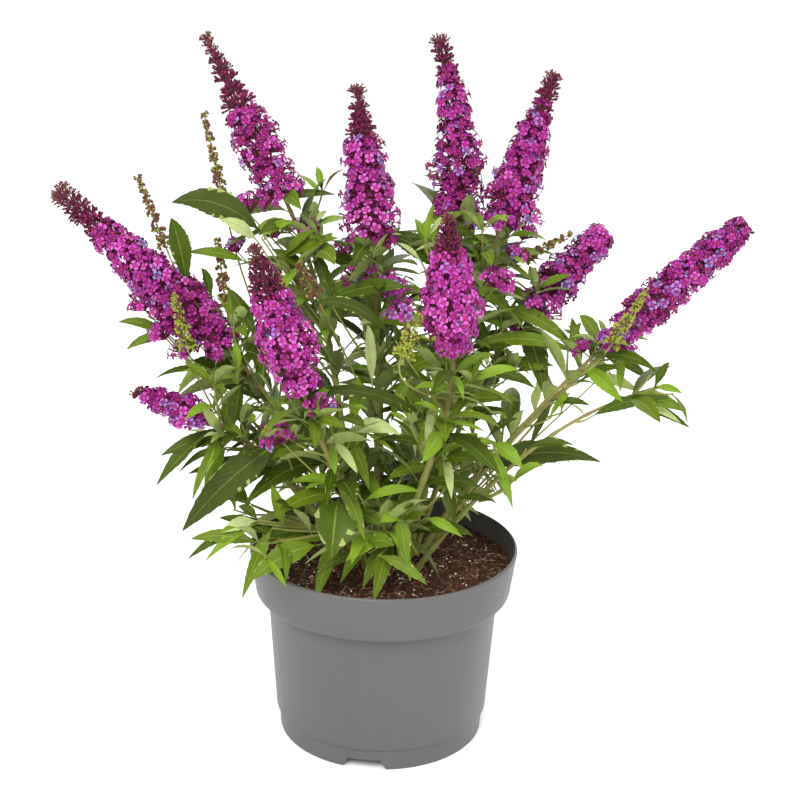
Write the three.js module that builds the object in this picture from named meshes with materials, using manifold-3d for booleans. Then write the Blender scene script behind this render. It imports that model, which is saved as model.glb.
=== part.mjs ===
// A butterfly bush in flower, in its grey nursery pot.
//
// Millimetres, +Z up, origin at the centre of the pot's flat underside, front towards -Y.
// Every flowering shoot is a chain of three solids: a tapering limb that stands on the soil,
// a leafy mass that carries the stem on, and a panicle of blossom at its end. Leafy side
// shoots grow out of the limbs low down. Neighbouring solids meet JOINT_GAP apart.

import * as THREE from "three";
import { mergeVertices } from "three/addons/utils/BufferGeometryUtils.js";
import Module from "manifold-3d";

const wasm = await Module();
wasm.setup();

// ---------------------------------------------------------------- driving dimensions

const JOINT_GAP = 0.3;

const POT = {
  height: 165,
  rimRadius: 112.5,
  bandFootRadius: 107.4,
  bandFootHeight: 125.8,
  ledge: 1.6,
  bodyTopRadius: 97.2,
  bodyFootRadius: 90.2,
  footStepHeight: 19,
  footTopRadius: 88,
  footRadius: 86.8,
  wall: 2.2,
  lip: 1.1,
  floor: 2.6,
  plugRadius: 58,
  ringFloor: 11.8,
  sides: 40,
};
const NOTCH = { count: 3, footWidth: 38, topWidth: 27, height: 9, depth: 22, firstAngle: 262 };
const SOIL = { edgeHeight: 147.5, crownHeight: 151, crownRadius: 50 };

// Limbs: how far out they stand on the soil, how upright they start, and the share of a shoot
// that is bare limb before its leafy mass begins.
const LIMB = {
  sides: 5, steps: 6, footRadius: 3.1, headRadius: 1.5, share: 0.42,
  standNear: 8, standShare: 0.16, standLeast: 10, standMost: 36, upright: 0.3, footPull: 0.36, headPull: 0.3,
};
// A mass: pairs of leaves every INTERNODE along its stem, and where its leaves may be.
const INTERNODE = 29;
const MASS = { steps: 4, sideRadius: 1.9, sideTipRadius: 1.1, tuftTurns: [20, 110, 200, 290], tuftAngle: 40 };
const SPACE = { margin: 1.2, reach: 105, limbClearance: 1, panicleClearance: 1.5, leafClearance: 5 };
const TWIG = {
  sides: 3, radius: 1.15, tipRadius: 0.7, leafPitch: 24, angle: [38, 52], fromLeaf: 38, rise: 0.35,
};
const LEAF = {
  widthShare: 0.28, thickShare: 0.015, leastThick: 0.9, petiole: 0.5, edge: 0.4, widest: 0.42,
  roundness: 0.8, longFrom: 72, longStations: [0.3, 0.64],
  angle: [50, 72], twigAngle: [48, 66], droop: [0.04, 0.36], roll: [-50, 50],
};
// Each new try for a leaf that doesn't fit turns it further, folds it in and shortens it.
const TRY = { count: 7, turn: 24, angle: 4, shorter: 0.07 };
const PANICLE = {
  pitch: 21, stalk: 9, stalkShare: 0.08, waist: 0.74, hollow: 0.78, sag: 0.03, slimFrom: 32, taper: 0.78,
};
const SEED = 8;
const FUSE_TOLERANCES = [0.1, 0.2, 0.3, 0.3];

// The flowering shoots: the point where the limb's blossom starts, the tip of that blossom,
// its greatest thickness, and how long the leaves below it are. A small taper keeps it thick
// nearly to its tip.
const SHOOTS = [
  { name: "left_far", head: [-129, 0, 330], tip: [-265, 5, 460], girth: 50, leaf: 84 },
  { name: "left_tall", head: [-86, 35, 450], tip: [-150, 50, 576], girth: 46, leaf: 84 },
  { name: "mid_left", head: [-14, 25, 416], tip: [-28, 30, 540], girth: 47, leaf: 78 },
  { name: "mid_tall", head: [54, 45, 440], tip: [35, 60, 576], girth: 42, leaf: 82 },
  { name: "right_tall", head: [89, 30, 430], tip: [128, 40, 552], girth: 43, leaf: 80 },
  { name: "right_mid", head: [119, 56, 354], tip: [184, 90, 417], girth: 33, leaf: 76, taper: 0.25 },
  { name: "right_far", head: [172, -10, 341], tip: [279, -10, 445], girth: 37, leaf: 62, taper: 0.25 },
  { name: "front_mid", head: [50, -85, 356], tip: [42, -115, 466], girth: 56, leaf: 76 },
  { name: "front_left", head: [-62, -90, 326], tip: [-96, -120, 444], girth: 54, leaf: 78 },
  { name: "left_low", head: [-141, -45, 286], tip: [-193, -60, 312], girth: 27, leaf: 74, taper: 0.4 },
  { name: "back_left", head: [-14, 120, 400], tip: [-29, 165, 510], girth: 44, leaf: 80 },
  { name: "back_right", head: [100, 110, 422], tip: [133, 150, 525], girth: 42, leaf: 80 },
  { name: "rear_left", head: [-146, 105, 305], tip: [-240, 165, 385], girth: 44, leaf: 78 },
  { name: "rear_mid", head: [50, 150, 300], tip: [54, 215, 390], girth: 42, leaf: 78 },
  { name: "rear_right", head: [195, 90, 318], tip: [288, 140, 400], girth: 36, leaf: 62 },
];

// The leafy side shoots: the limb each one leaves, how far up it, and which way it goes.
// Angles are in degrees: azimuth from +X towards +Y, rise above the level.
const SIDE_SHOOTS = [
  { name: "spill_left", limb: "front_left", at: 0.22, azimuth: 214, rise: 6, length: 84, leaf: 72 },
  { name: "low_front", limb: "front_mid", at: 0.15, azimuth: 246, rise: 30, length: 40, leaf: 58 },
  { name: "low_right", limb: "right_leafy", at: 0.34, azimuth: 330, rise: 42, length: 34, leaf: 56 },
  { name: "inner_front", limb: "mid_tall", at: 0.22, azimuth: 285, rise: 32, length: 50, leaf: 74 },
  { name: "inner_left", limb: "left_tall", at: 0.22, azimuth: 250, rise: 32, length: 46, leaf: 74 },
  { name: "inner_right", limb: "right_tall", at: 0.22, azimuth: 335, rise: 32, length: 46, leaf: 74 },
  { name: "low_left", limb: "left_low", at: 0.2, azimuth: 186, rise: 26, length: 62, leaf: 84 },
  { name: "low_rear_left", limb: "rear_left", at: 0.16, azimuth: 128, rise: 18, length: 74, leaf: 84 },
  { name: "low_rear", limb: "rear_mid", at: 0.16, azimuth: 82, rise: 16, length: 70, leaf: 84 },
  { name: "low_rear_right", limb: "rear_right", at: 0.16, azimuth: 74, rise: 30, length: 56, leaf: 64 },
];

// One long bare side limb whose leaves hang at its end.
const LEAFY_LIMB = { name: "right_leafy", head: [186, -32, 305], end: [215, -36, 318],
  leaf: 54, footTurn: -28 };

// Slender spikes of closed buds on long thin twigs: the mass and how far up its stem each one
// starts, and where its buds begin and end.
const SPIKES = [
  { mass: "left_tall", at: 0.7, base: [-133, 42, 432], tip: [-150, 46, 513] },
  { mass: "left_far", at: 0.5, base: [-187, 62, 402], tip: [-208, 66, 457] },
  { mass: "right_tall", at: 0.6, base: [112, 52, 400], tip: [148, 62, 418] },
];
const SPIKE = { sides: 4, radius: 4.6, waist: 2.6 };

const COLOURS = {
  pot: [0x7f7f7f, 0.5],
  soil: [0x3e2c21, 0.95],
  limb: [0x7d7a3e, 0.7],
  foliage: [0x5e6e27, 0.65],
  blossom: [0x943e7d, 0.8],
};

// ---------------------------------------------------------------- small helpers

const UP = new THREE.Vector3(0, 0, 1);
const vec = (point) => new THREE.Vector3(...point);
const mix = (from, to, share) => from + (to - from) * share;
const radians = (degrees) => degrees * Math.PI / 180;
const pick = ([least, most], random) => mix(least, most, random());
const along = (origin, direction, distance) => origin.clone().addScaledVector(direction, distance);

// Numbers from 0 to 1 that are the same on every run: a linear congruential sequence.
function seededRandom(seed) {
  let state = (seed * 7919 + 104729) % 2147483647;
  return () => {
    state = (state * 48271) % 2147483647;
    return state / 2147483647;
  };
}

// The direction that leaves `axis` at `angle` degrees, turned round it by `turn` degrees.
function branchDirection(axis, turn, angle) {
  const side = new THREE.Vector3().crossVectors(axis, UP);
  if (side.length() < 0.05) side.set(1, 0, 0);
  side.normalize();
  const lift = new THREE.Vector3().crossVectors(side, axis).normalize();
  const around = side.multiplyScalar(Math.cos(radians(turn)));
  around.addScaledVector(lift, Math.sin(radians(turn)));
  const forward = axis.clone().multiplyScalar(Math.cos(radians(angle)));
  return forward.addScaledVector(around, Math.sin(radians(angle)));
}

// The shortest distance between the segments a-b and c-d.
function segmentDistance(a, b, c, d) {
  const u = b.clone().sub(a);
  const v = d.clone().sub(c);
  const w = a.clone().sub(c);
  const uu = u.dot(u);
  const uv = u.dot(v);
  const vv = v.dot(v);
  const uw = u.dot(w);
  const vw = v.dot(w);
  const spread = uu * vv - uv * uv;
  let s = spread > 1e-9 ? THREE.MathUtils.clamp((uv * vw - vv * uw) / spread, 0, 1) : 0;
  let t = vv > 1e-9 ? (uv * s + vw) / vv : 0;
  t = THREE.MathUtils.clamp(t, 0, 1);
  s = uu > 1e-9 ? THREE.MathUtils.clamp((uv * t - uw) / uu, 0, 1) : 0;
  return along(a, u, s).distanceTo(along(c, v, t));
}

function distanceToLine(point, line) {
  let nearest = Infinity;
  for (let i = 0; i + 1 < line.length; i++) {
    nearest = Math.min(nearest, segmentDistance(point, point, line[i], line[i + 1]));
  }
  return nearest;
}

// ---------------------------------------------------------------- closed solids

function solidOf(vertices, faces) {
  const vertProperties = new Float32Array(vertices.flatMap((point) => point.toArray()));
  const triVerts = new Uint32Array(faces.flat());
  return new wasm.Manifold(new wasm.Mesh({ numProp: 3, vertProperties, triVerts }));
}

function solidOfGeometry(geometry) {
  geometry.deleteAttribute("normal");
  geometry.deleteAttribute("uv");
  const merged = mergeVertices(geometry, 1e-4);
  const vertProperties = new Float32Array(merged.attributes.position.array);
  const triVerts = new Uint32Array(merged.index.array);
  return new wasm.Manifold(new wasm.Mesh({ numProp: 3, vertProperties, triVerts }));
}

// Joins solids that touch and keeps the one large body: loose scraps and sealed pockets go.
function fuse(solids) {
  const joined = wasm.Manifold.union(solids).asOriginal();
  const plain = FUSE_TOLERANCES.reduce((solid, tolerance) => solid.simplify(tolerance), joined);
  return plain.decompose().reduce((best, body) => (body.volume() > best.volume() ? body : best));
}

function namedMesh(name, solid, look) {
  const { vertProperties, triVerts } = solid.getMesh();
  const geometry = new THREE.BufferGeometry();
  geometry.setAttribute("position", new THREE.BufferAttribute(vertProperties, 3));
  geometry.setIndex(new THREE.BufferAttribute(triVerts, 1));
  geometry.computeVertexNormals();
  const [color, roughness] = COLOURS[look];
  const material = new THREE.MeshStandardMaterial({ color, roughness, metalness: 0 });
  const mesh = new THREE.Mesh(geometry, material);
  mesh.name = name;
  return mesh;
}

// A closed skin round `line`: one ring of `sides` corners for each point, flat at both ends.
// `startFacing` turns the first ring's plane, so that a twig is cut flush with its limb.
function skinAlong(line, radiusAt, sides, startFacing = null) {
  const vertices = [];
  const faces = [];
  const across = new THREE.Vector3(0.31, 0.27, 0.91).cross(line[1].clone().sub(line[0]).normalize()).negate();
  line.forEach((point, i) => {
    const before = line[Math.max(i - 1, 0)];
    const after = line[Math.min(i + 1, line.length - 1)];
    const heading = after.clone().sub(before).normalize();
    across.addScaledVector(heading, -across.dot(heading)).normalize();
    const other = new THREE.Vector3().crossVectors(heading, across);
    for (let k = 0; k < sides; k++) {
      const angle = 2 * Math.PI * k / sides;
      const radius = radiusAt(i, k);
      const corner = along(along(point, across, radius * Math.cos(angle)), other, radius * Math.sin(angle));
      if (i === 0 && startFacing) {
        const lag = corner.clone().sub(point).dot(startFacing) / heading.dot(startFacing);
        corner.addScaledVector(heading, -lag);
      }
      vertices.push(corner);
    }
  });
  for (let i = 0; i + 1 < line.length; i++) {
    for (let k = 0; k < sides; k++) {
      const next = (k + 1) % sides;
      const [a, b, c, d] = [i * sides + k, i * sides + next, (i + 1) * sides + next, (i + 1) * sides + k];
      faces.push([a, b, c], [a, c, d]);
    }
  }
  const last = (line.length - 1) * sides;
  for (let k = 1; k + 1 < sides; k++) {
    faces.push([0, k + 1, k], [last, last + k, last + k + 1]);
  }
  return solidOf(vertices, faces);
}

// ---------------------------------------------------------------- pot and soil

// The pot's inside from the rim down to the middle of the floor, `inset` inside the plastic.
function cavityProfile(inset) {
  const slope = (POT.rimRadius - POT.bandFootRadius) / (POT.height - POT.bandFootHeight);
  const bandRadius = (z) => POT.rimRadius - POT.wall - inset - slope * (POT.height - z);
  const bandFloor = POT.bandFootHeight + POT.wall + inset;
  return { bandRadius, bandFloor };
}

function potSolid() {
  const { bandRadius, bandFloor } = cavityProfile(0);
  const profile = [
    [0, 0],
    [POT.footRadius, 0],
    [POT.footTopRadius, POT.footStepHeight],
    [POT.bodyFootRadius, POT.footStepHeight + 0.8],
    [POT.bodyTopRadius, POT.bandFootHeight - POT.ledge],
    [POT.bandFootRadius - POT.ledge, POT.bandFootHeight],
    [POT.bandFootRadius, POT.bandFootHeight + POT.ledge],
    [POT.rimRadius, POT.height - POT.lip],
    [POT.rimRadius - POT.lip, POT.height],
    [bandRadius(POT.height), POT.height],
    [bandRadius(bandFloor), bandFloor],
    [POT.bodyTopRadius - POT.wall, bandFloor],
    [POT.footRadius - POT.wall, POT.ringFloor],
    [POT.plugRadius, POT.ringFloor],
    [POT.plugRadius, POT.floor],
    [0, POT.floor],
  ];
  const points = profile.map(([radius, z]) => new THREE.Vector2(radius, z));
  const body = solidOfGeometry(uprightLathe(points, POT.sides));
  return notches().reduce((rest, notch) => rest.subtract(notch), body);
}

// The drainage notches: wedges cut up into the foot, wider at the ground than at their top.
function notches() {
  const half = NOTCH.footWidth / 2;
  const shape = new THREE.Shape();
  shape.moveTo(-half, -1);
  shape.lineTo(half, -1);
  shape.lineTo(NOTCH.topWidth / 2, NOTCH.height);
  shape.lineTo(-NOTCH.topWidth / 2, NOTCH.height);
  return Array.from({ length: NOTCH.count }, (_, i) => {
    const geometry = new THREE.ExtrudeGeometry(shape, { depth: NOTCH.depth + 10, bevelEnabled: false });
    geometry.rotateX(Math.PI / 2);
    geometry.translate(0, -(POT.footRadius - NOTCH.depth), 0);
    geometry.rotateZ(radians(NOTCH.firstAngle + 90 + i * 360 / NOTCH.count));
    return solidOfGeometry(geometry);
  });
}

// A lathe turned so that its axis is +Z.
function uprightLathe(points, sides) {
  const geometry = new THREE.LatheGeometry(points, sides);
  geometry.rotateX(Math.PI / 2);
  return geometry;
}

function soilSolid() {
  const { bandRadius, bandFloor } = cavityProfile(JOINT_GAP);
  const wall = POT.wall + JOINT_GAP;
  const profile = [
    [0, POT.floor + JOINT_GAP],
    [POT.plugRadius - JOINT_GAP, POT.floor + JOINT_GAP],
    [POT.plugRadius - JOINT_GAP, POT.ringFloor + JOINT_GAP],
    [POT.footRadius - wall, POT.ringFloor + JOINT_GAP],
    [POT.bodyTopRadius - wall, bandFloor],
    [bandRadius(bandFloor), bandFloor],
    [bandRadius(SOIL.edgeHeight), SOIL.edgeHeight],
    [SOIL.crownRadius, SOIL.crownHeight],
    [0, SOIL.crownHeight],
  ];
  const points = profile.map(([radius, z]) => new THREE.Vector2(radius, z));
  return solidOfGeometry(uprightLathe(points, POT.sides));
}

// ---------------------------------------------------------------- limbs and blossom

// A shoot rises from the soil near the pot's middle, on the side where its blossom is, and
// comes into its head along the direction in which it goes on.
function shootCurve(head, tip, footTurn = 0) {
  const flat = new THREE.Vector3(head.x, head.y, 0);
  const stand = LIMB.standNear + flat.length() * LIMB.standShare;
  const foot = flat.normalize().multiplyScalar(THREE.MathUtils.clamp(stand, LIMB.standLeast, LIMB.standMost));
  foot.applyAxisAngle(UP, radians(footTurn));
  foot.z = SOIL.crownHeight + JOINT_GAP;
  const span = head.distanceTo(foot);
  const chord = head.clone().sub(foot).normalize();
  const start = chord.clone().lerp(UP, LIMB.upright).normalize();
  const finish = tip.clone().sub(head).normalize();
  const low = along(foot, start, span * LIMB.footPull);
  const high = along(head, finish, -span * LIMB.headPull);
  return new THREE.CubicBezierCurve3(foot, low, high, head);
}

function stretch(curve, from, to, steps) {
  return Array.from({ length: steps + 1 }, (_, i) => curve.getPoint(mix(from, to, i / steps)));
}

const limbRadius = (t) => mix(LIMB.footRadius, LIMB.headRadius, t);

// The blossom's half thickness over its girth: widest a third of the way from its base (0) to
// its tip (1).
function panicleSwell(share, taper = PANICLE.taper) {
  const fall = Math.pow(Math.max(0, 1 - share) / 0.67, taper);
  return Math.max(0.16, Math.min(1, 0.45 + 1.65 * share, fall));
}

// Blossom stands in whorls of opposite pairs, each pair turned a quarter from the one below,
// fused to the stalk that runs up through them.
function panicleSolid(shoot) {
  const head = vec(shoot.head);
  const axis = vec(shoot.tip).sub(head);
  const length = axis.length();
  axis.normalize();
  const stalk = Math.min(PANICLE.stalk, length * PANICLE.stalkShare);
  const whorls = Math.max(3, Math.round((length - stalk) / PANICLE.pitch));
  const bow = PANICLE.sag * length * (1 - Math.abs(axis.z));
  const place = (share) => {
    const lift = 4 * share * (1 - share) * bow;
    return along(along(head, axis, JOINT_GAP + share * (length - JOINT_GAP)), UP, lift);
  };
  const line = [place(0), place(stalk / length)];
  const radii = [() => LIMB.headRadius, () => LIMB.headRadius];
  for (let whorl = 0; whorl < whorls; whorl++) {
    for (const part of [0.3, 0.85]) {
      const share = (whorl + part) / whorls;
      const full = part < 0.5 ? 1 : PANICLE.waist;
      line.push(place(mix(stalk / length, 1, share)));
      radii.push((k) => {
        const lobe = (k + 2 * (whorl % 2)) % 4 < 2 ? 1 : PANICLE.hollow;
        return shoot.girth / 2 * panicleSwell(share, shoot.taper) * full * lobe;
      });
    }
  }
  line.push(place(1));
  radii.push(() => TWIG.tipRadius);
  return skinAlong(line, (i, k) => radii[i](k), shoot.girth > PANICLE.slimFrom ? 8 : 6);
}

// ---------------------------------------------------------------- leaves and twigs

// A leaf starts as a thin stalk, is widest past its middle, and sags along its length.
class Leaf {
  constructor(root, direction, length, droop, roll) {
    this.length = length;
    this.root = root;
    this.direction = direction;
    this.droop = droop;
    this.width = length * LEAF.widthShare;
    this.thickness = Math.max(LEAF.leastThick, length * LEAF.thickShare);
    const level = new THREE.Vector3().crossVectors(direction, UP);
    if (level.length() < 0.05) level.set(1, 0, 0);
    this.across = level.normalize().applyAxisAngle(direction, radians(roll));
    this.above = new THREE.Vector3().crossVectors(this.across, direction).normalize();
  }

  middle(share) {
    const sag = this.droop * this.length * share * share;
    return along(this.root, this.direction, this.length * share).addScaledVector(UP, -sag);
  }

  halfWidth(share) {
    const { widest } = LEAF;
    const fill = share < widest ? share / widest : (1 - share) / (1 - widest);
    return Math.max(LEAF.edge, this.width / 2 * Math.pow(fill, LEAF.roundness));
  }

  // The lines that stand for the leaf in the tests: its midrib, both edges and two between.
  lines() {
    const shares = [0.1, 0.3, 0.5, 0.75, 1];
    return [-1, -0.5, 0, 0.5, 1].map((side) =>
      shares.map((share) => along(this.middle(share), this.across, side * this.halfWidth(share))));
  }

  solid() {
    const stations = this.length > LEAF.longFrom ? LEAF.longStations : [LEAF.widest];
    const vertices = [];
    const faces = [[0, 1, 2]];
    const section = (centre, half, depth) => {
      vertices.push(along(centre, this.across, half), along(centre, this.across, -half));
      vertices.push(along(centre, this.above, -depth));
    };
    section(this.root, LEAF.petiole, LEAF.petiole);
    for (const share of stations) section(this.middle(share), this.halfWidth(share), this.thickness);
    stations.forEach((_, i) => {
      for (let k = 0; k < 3; k++) {
        const next = (k + 1) % 3;
        const [a, b, c, d] = [3 * i + k, 3 * i + next, 3 * i + 3 + next, 3 * i + 3 + k];
        faces.push([a, d, c], [a, c, b]);
      }
    });
    const last = 3 * stations.length;
    vertices.push(this.middle(1));
    for (let k = 0; k < 3; k++) faces.push([last + k, last + 3, last + (k + 1) % 3]);
    return solidOf(vertices, faces);
  }
}

// ---------------------------------------------------------------- spaces and growth

const limbs = [];
const masses = [];
const spindles = [];

// The pot's band stands in the tests as level hoops, one above the other.
const hoops = [140, 146, 152, 158, 163].map((height) => {
  const rise = (height - POT.bandFootHeight) / (POT.height - POT.bandFootHeight);
  const radius = mix(POT.bandFootRadius, POT.rimRadius, rise) - POT.wall / 2;
  const line = Array.from({ length: POT.sides + 1 }, (_, i) => {
    const angle = 2 * Math.PI * i / POT.sides;
    return new THREE.Vector3(radius * Math.cos(angle), radius * Math.sin(angle), height);
  });
  return { line, radii: line.map(() => POT.wall + SPACE.limbClearance) };
});

// A point is in a mass's space when it is nearer to that mass's spine than to any other's,
// within reach of it and above the soil.
function insideSpace(point, mass) {
  const own = distanceToLine(point, mass.spine);
  if (own > SPACE.reach || point.z < SOIL.crownHeight + SPACE.limbClearance) return false;
  return masses.every((other) => other === mass || distanceToLine(point, other.spine) > own + SPACE.margin);
}

function clearOf(line, axis, clearance) {
  for (let i = 0; i + 1 < line.length; i++) {
    for (let k = 0; k + 1 < axis.line.length; k++) {
      const least = clearance + Math.max(axis.radii[k], axis.radii[k + 1]);
      if (segmentDistance(line[i], line[i + 1], axis.line[k], axis.line[k + 1]) < least) return false;
    }
  }
  return true;
}

function fits(lines, mass) {
  if (!lines.every((line) => line.every((point) => insideSpace(point, mass)))) return false;
  return lines.every((line) => limbs.every((limb) => clearOf(line, limb, SPACE.limbClearance))
    && hoops.every((hoop) => clearOf(line, hoop, 0))
    && spindles.every((spindle) => clearOf(line, spindle, SPACE.panicleClearance)));
}

// A leaf keeps its midrib away from the midribs of the leaves that its mass already has.
function clearOfOwn(midrib, mass) {
  const axis = { line: midrib.slice(1), radii: midrib.slice(1).map(() => 0) };
  return mass.blades.every((blade) => clearOf(blade, axis, SPACE.leafClearance));
}

// Tries a leaf, then shorter ones turned a little further round, and skips it if none fits.
function growLeaf(mass, root, axis, turn, angle, length, random) {
  const droop = pick(LEAF.droop, random);
  const roll = pick(LEAF.roll, random);
  for (let attempt = 0; attempt < TRY.count; attempt++) {
    const direction = branchDirection(axis, turn + attempt * TRY.turn, angle - attempt * TRY.angle);
    const leaf = new Leaf(root, direction, length * (1 - attempt * TRY.shorter), droop, roll);
    const lines = leaf.lines();
    if (fits(lines, mass) && clearOfOwn(lines[2], mass)) {
      mass.solids.push(leaf.solid());
      mass.blades.push(lines[2].slice(1));
      return;
    }
  }
}

// A side twig carries opposite pairs of leaves, each pair turned a quarter, and two at its tip.
function growTwig(mass, root, axis, turn, angle, length, leafLength, random) {
  const heading = branchDirection(axis, turn, angle);
  const bend = heading.clone().lerp(UP, TWIG.rise).normalize();
  const knee = along(root, heading, length / 2);
  const end = along(knee, bend, length / 2);
  if (!fits([[knee, end]], mass)) return;
  mass.solids.push(skinAlong([root, knee, end], (i) => mix(TWIG.radius, TWIG.tipRadius, i / 2), TWIG.sides));
  const pairs = Math.max(1, Math.round(length / TWIG.leafPitch));
  for (let pair = 0; pair < pairs; pair++) {
    const share = (pair + 0.9) / pairs;
    const spot = share < 0.5 ? root.clone().lerp(knee, share * 2) : knee.clone().lerp(end, share * 2 - 1);
    for (const half of [0, 180]) {
      const size = leafLength * mix(1, 0.62, share) * pick([0.85, 1.12], random);
      growLeaf(mass, spot, bend, turn + pair * 90 + half, pick(LEAF.twigAngle, random), size, random);
    }
  }
}

// Leaves stand on the mass's own stem in opposite pairs, with a twig out of one axil of each.
function growMass(mass, seed) {
  const random = seededRandom(seed);
  const length = mass.stem.getLength() * (1 - mass.from);
  const pairs = Math.max(2, Math.round(length / INTERNODE));
  for (let pair = 0; pair < pairs; pair++) {
    const share = (pair + 0.45) / pairs;
    const t = mix(mass.from, 1, share);
    const root = mass.stem.getPoint(t);
    const axis = mass.stem.getTangent(t);
    const turn = pair * 90 + pick([-20, 20], random);
    for (const half of [0, 180]) {
      const size = mass.leaf * mix(1.2, 0.75, share) * pick([0.86, 1.12], random);
      growLeaf(mass, root, axis, turn + half, pick(LEAF.angle, random), size, random);
    }
    const side = TWIG.fromLeaf + 180 * (pair % 2);
    const reach = mass.leaf * mix(0.6, 0.42, share) * pick([0.8, 1.2], random);
    growTwig(mass, root, axis, turn + side, pick(TWIG.angle, random), reach, mass.leaf * 0.72, random);
  }
  if (mass.tuft) {
    const axis = mass.stem.getTangent(1);
    for (const turn of MASS.tuftTurns) {
      growLeaf(mass, mass.spine.at(-1), axis, turn, MASS.tuftAngle, mass.leaf * 0.8, random);
    }
  }
  return fuse(mass.solids);
}

// ---------------------------------------------------------------- the plant

const group = new THREE.Group();

function addMass(name, stem, from, radiusAt, leaf, options = {}) {
  const spine = stretch(stem, from, 1, MASS.steps);
  const sides = options.facing ? TWIG.sides : LIMB.sides;
  const solids = [skinAlong(spine, radiusAt, sides, options.facing)];
  masses.push({ name: `leaves_${name}`, stem, from, spine, solids, blades: [], leaf, tuft: options.tuft });
}

function addLimb(name, curve, share) {
  const line = stretch(curve, 0, share, LIMB.steps);
  const radii = line.map((_, i) => limbRadius(share * i / LIMB.steps));
  group.add(namedMesh(`limb_${name}`, skinAlong(line, (i) => radii[i], LIMB.sides, UP), "limb"));
  limbs.push({ name, curve, line, radii });
}

// A bare limb, the leafy mass that carries its stem on, and the panicle at the end.
function addFloweringShoot(shoot) {
  const [head, tip] = [vec(shoot.head), vec(shoot.tip)];
  const curve = shootCurve(head, tip);
  addLimb(shoot.name, curve, LIMB.share);
  const from = LIMB.share + JOINT_GAP / curve.getLength();
  addMass(shoot.name, curve, from, (i) => limbRadius(mix(from, 1, i / MASS.steps)), shoot.leaf);
  const line = stretch(new THREE.LineCurve3(head, tip), 0, 1, 8);
  const radii = line.map((_, i) => shoot.girth / 2 * panicleSwell(i / 8, shoot.taper));
  line[0].lerp(line[1], 0.5);
  radii[0] = LIMB.headRadius * 2;
  spindles.push({ line, radii });
  group.add(namedMesh(`panicle_${shoot.name}`, panicleSolid(shoot), "blossom"));
}

// A long bare limb with leaves only round its end.
function addLeafyLimb(shoot) {
  const [head, end] = [vec(shoot.head), vec(shoot.end)];
  addLimb(shoot.name, shootCurve(head, end, shoot.footTurn), 1);
  const axis = end.clone().sub(head).normalize();
  const stem = new THREE.LineCurve3(along(head, axis, JOINT_GAP), end);
  addMass(shoot.name, stem, 0, () => LIMB.headRadius, shoot.leaf, { tuft: true });
}

// A leafy shoot out of the side of a limb: its stem is cut flush with the limb's bark.
function addSideShoot(shoot) {
  const limb = limbs.find((candidate) => candidate.name === shoot.limb);
  const tangent = limb.curve.getTangent(shoot.at);
  const level = new THREE.Vector3(1, 0, 0).applyAxisAngle(UP, radians(shoot.azimuth));
  const facing = along(level, tangent, -level.dot(tangent)).normalize();
  const root = along(limb.curve.getPoint(shoot.at), facing, limbRadius(shoot.at) + JOINT_GAP);
  const heading = level.multiplyScalar(Math.cos(radians(shoot.rise)));
  heading.addScaledVector(UP, Math.sin(radians(shoot.rise)));
  const knee = along(root, facing.clone().lerp(heading, 0.75).normalize(), shoot.length * 0.4);
  const stem = new THREE.QuadraticBezierCurve3(root, knee, along(knee, heading, shoot.length * 0.6));
  const radiusAt = (i) => mix(MASS.sideRadius, MASS.sideTipRadius, i / MASS.steps);
  addMass(shoot.name, stem, 0, radiusAt, shoot.leaf, { facing, tuft: true });
}

// Buds in three swellings at the end of a bare twig, fused to the stem of its mass.
function addSpike(spike) {
  const mass = masses.find((candidate) => candidate.name === `leaves_${spike.mass}`);
  const root = mass.stem.getPoint(mix(mass.from, 1, spike.at));
  const [base, tip] = [vec(spike.base), vec(spike.tip)];
  const { radius, waist } = SPIKE;
  const line = [root, ...stretch(new THREE.LineCurve3(base, tip), 0, 1, 5)];
  const radii = [TWIG.radius, TWIG.radius, radius, waist, radius * 0.85, waist, TWIG.tipRadius];
  mass.solids.push(skinAlong(line, (i) => radii[i], SPIKE.sides));
  spindles.push({ line: [root.clone().lerp(base, 0.1), base, tip], radii: [TWIG.radius, TWIG.radius, radius] });
}

group.add(namedMesh("pot", potSolid(), "pot"));
group.add(namedMesh("soil", soilSolid(), "soil"));
SHOOTS.forEach(addFloweringShoot);
addLeafyLimb(LEAFY_LIMB);
SIDE_SHOOTS.forEach(addSideShoot);
SPIKES.forEach(addSpike);
masses.forEach((mass, i) => group.add(namedMesh(mass.name, growMass(mass, SEED * 100 + i), "foliage")));

export default group;
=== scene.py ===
# %% [markdown]
# # A butterfly bush in its nursery pot
# The real thing is a young flowering shrub in a grey plastic pot. Stiff shoots rise from the peat,
# carry long toothed leaves in opposite pairs, and end in dense panicles of four-lobed flowers.
# A solid model of the same plant is loaded first. It fixes the sizes, and the limbs, masses of
# foliage and panicles made here grow in the space that its solids hold.

# %% Load the solid model and keep its size
import math

import bmesh
import bpy
import numpy as np
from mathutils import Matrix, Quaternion, Vector, noise


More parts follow.
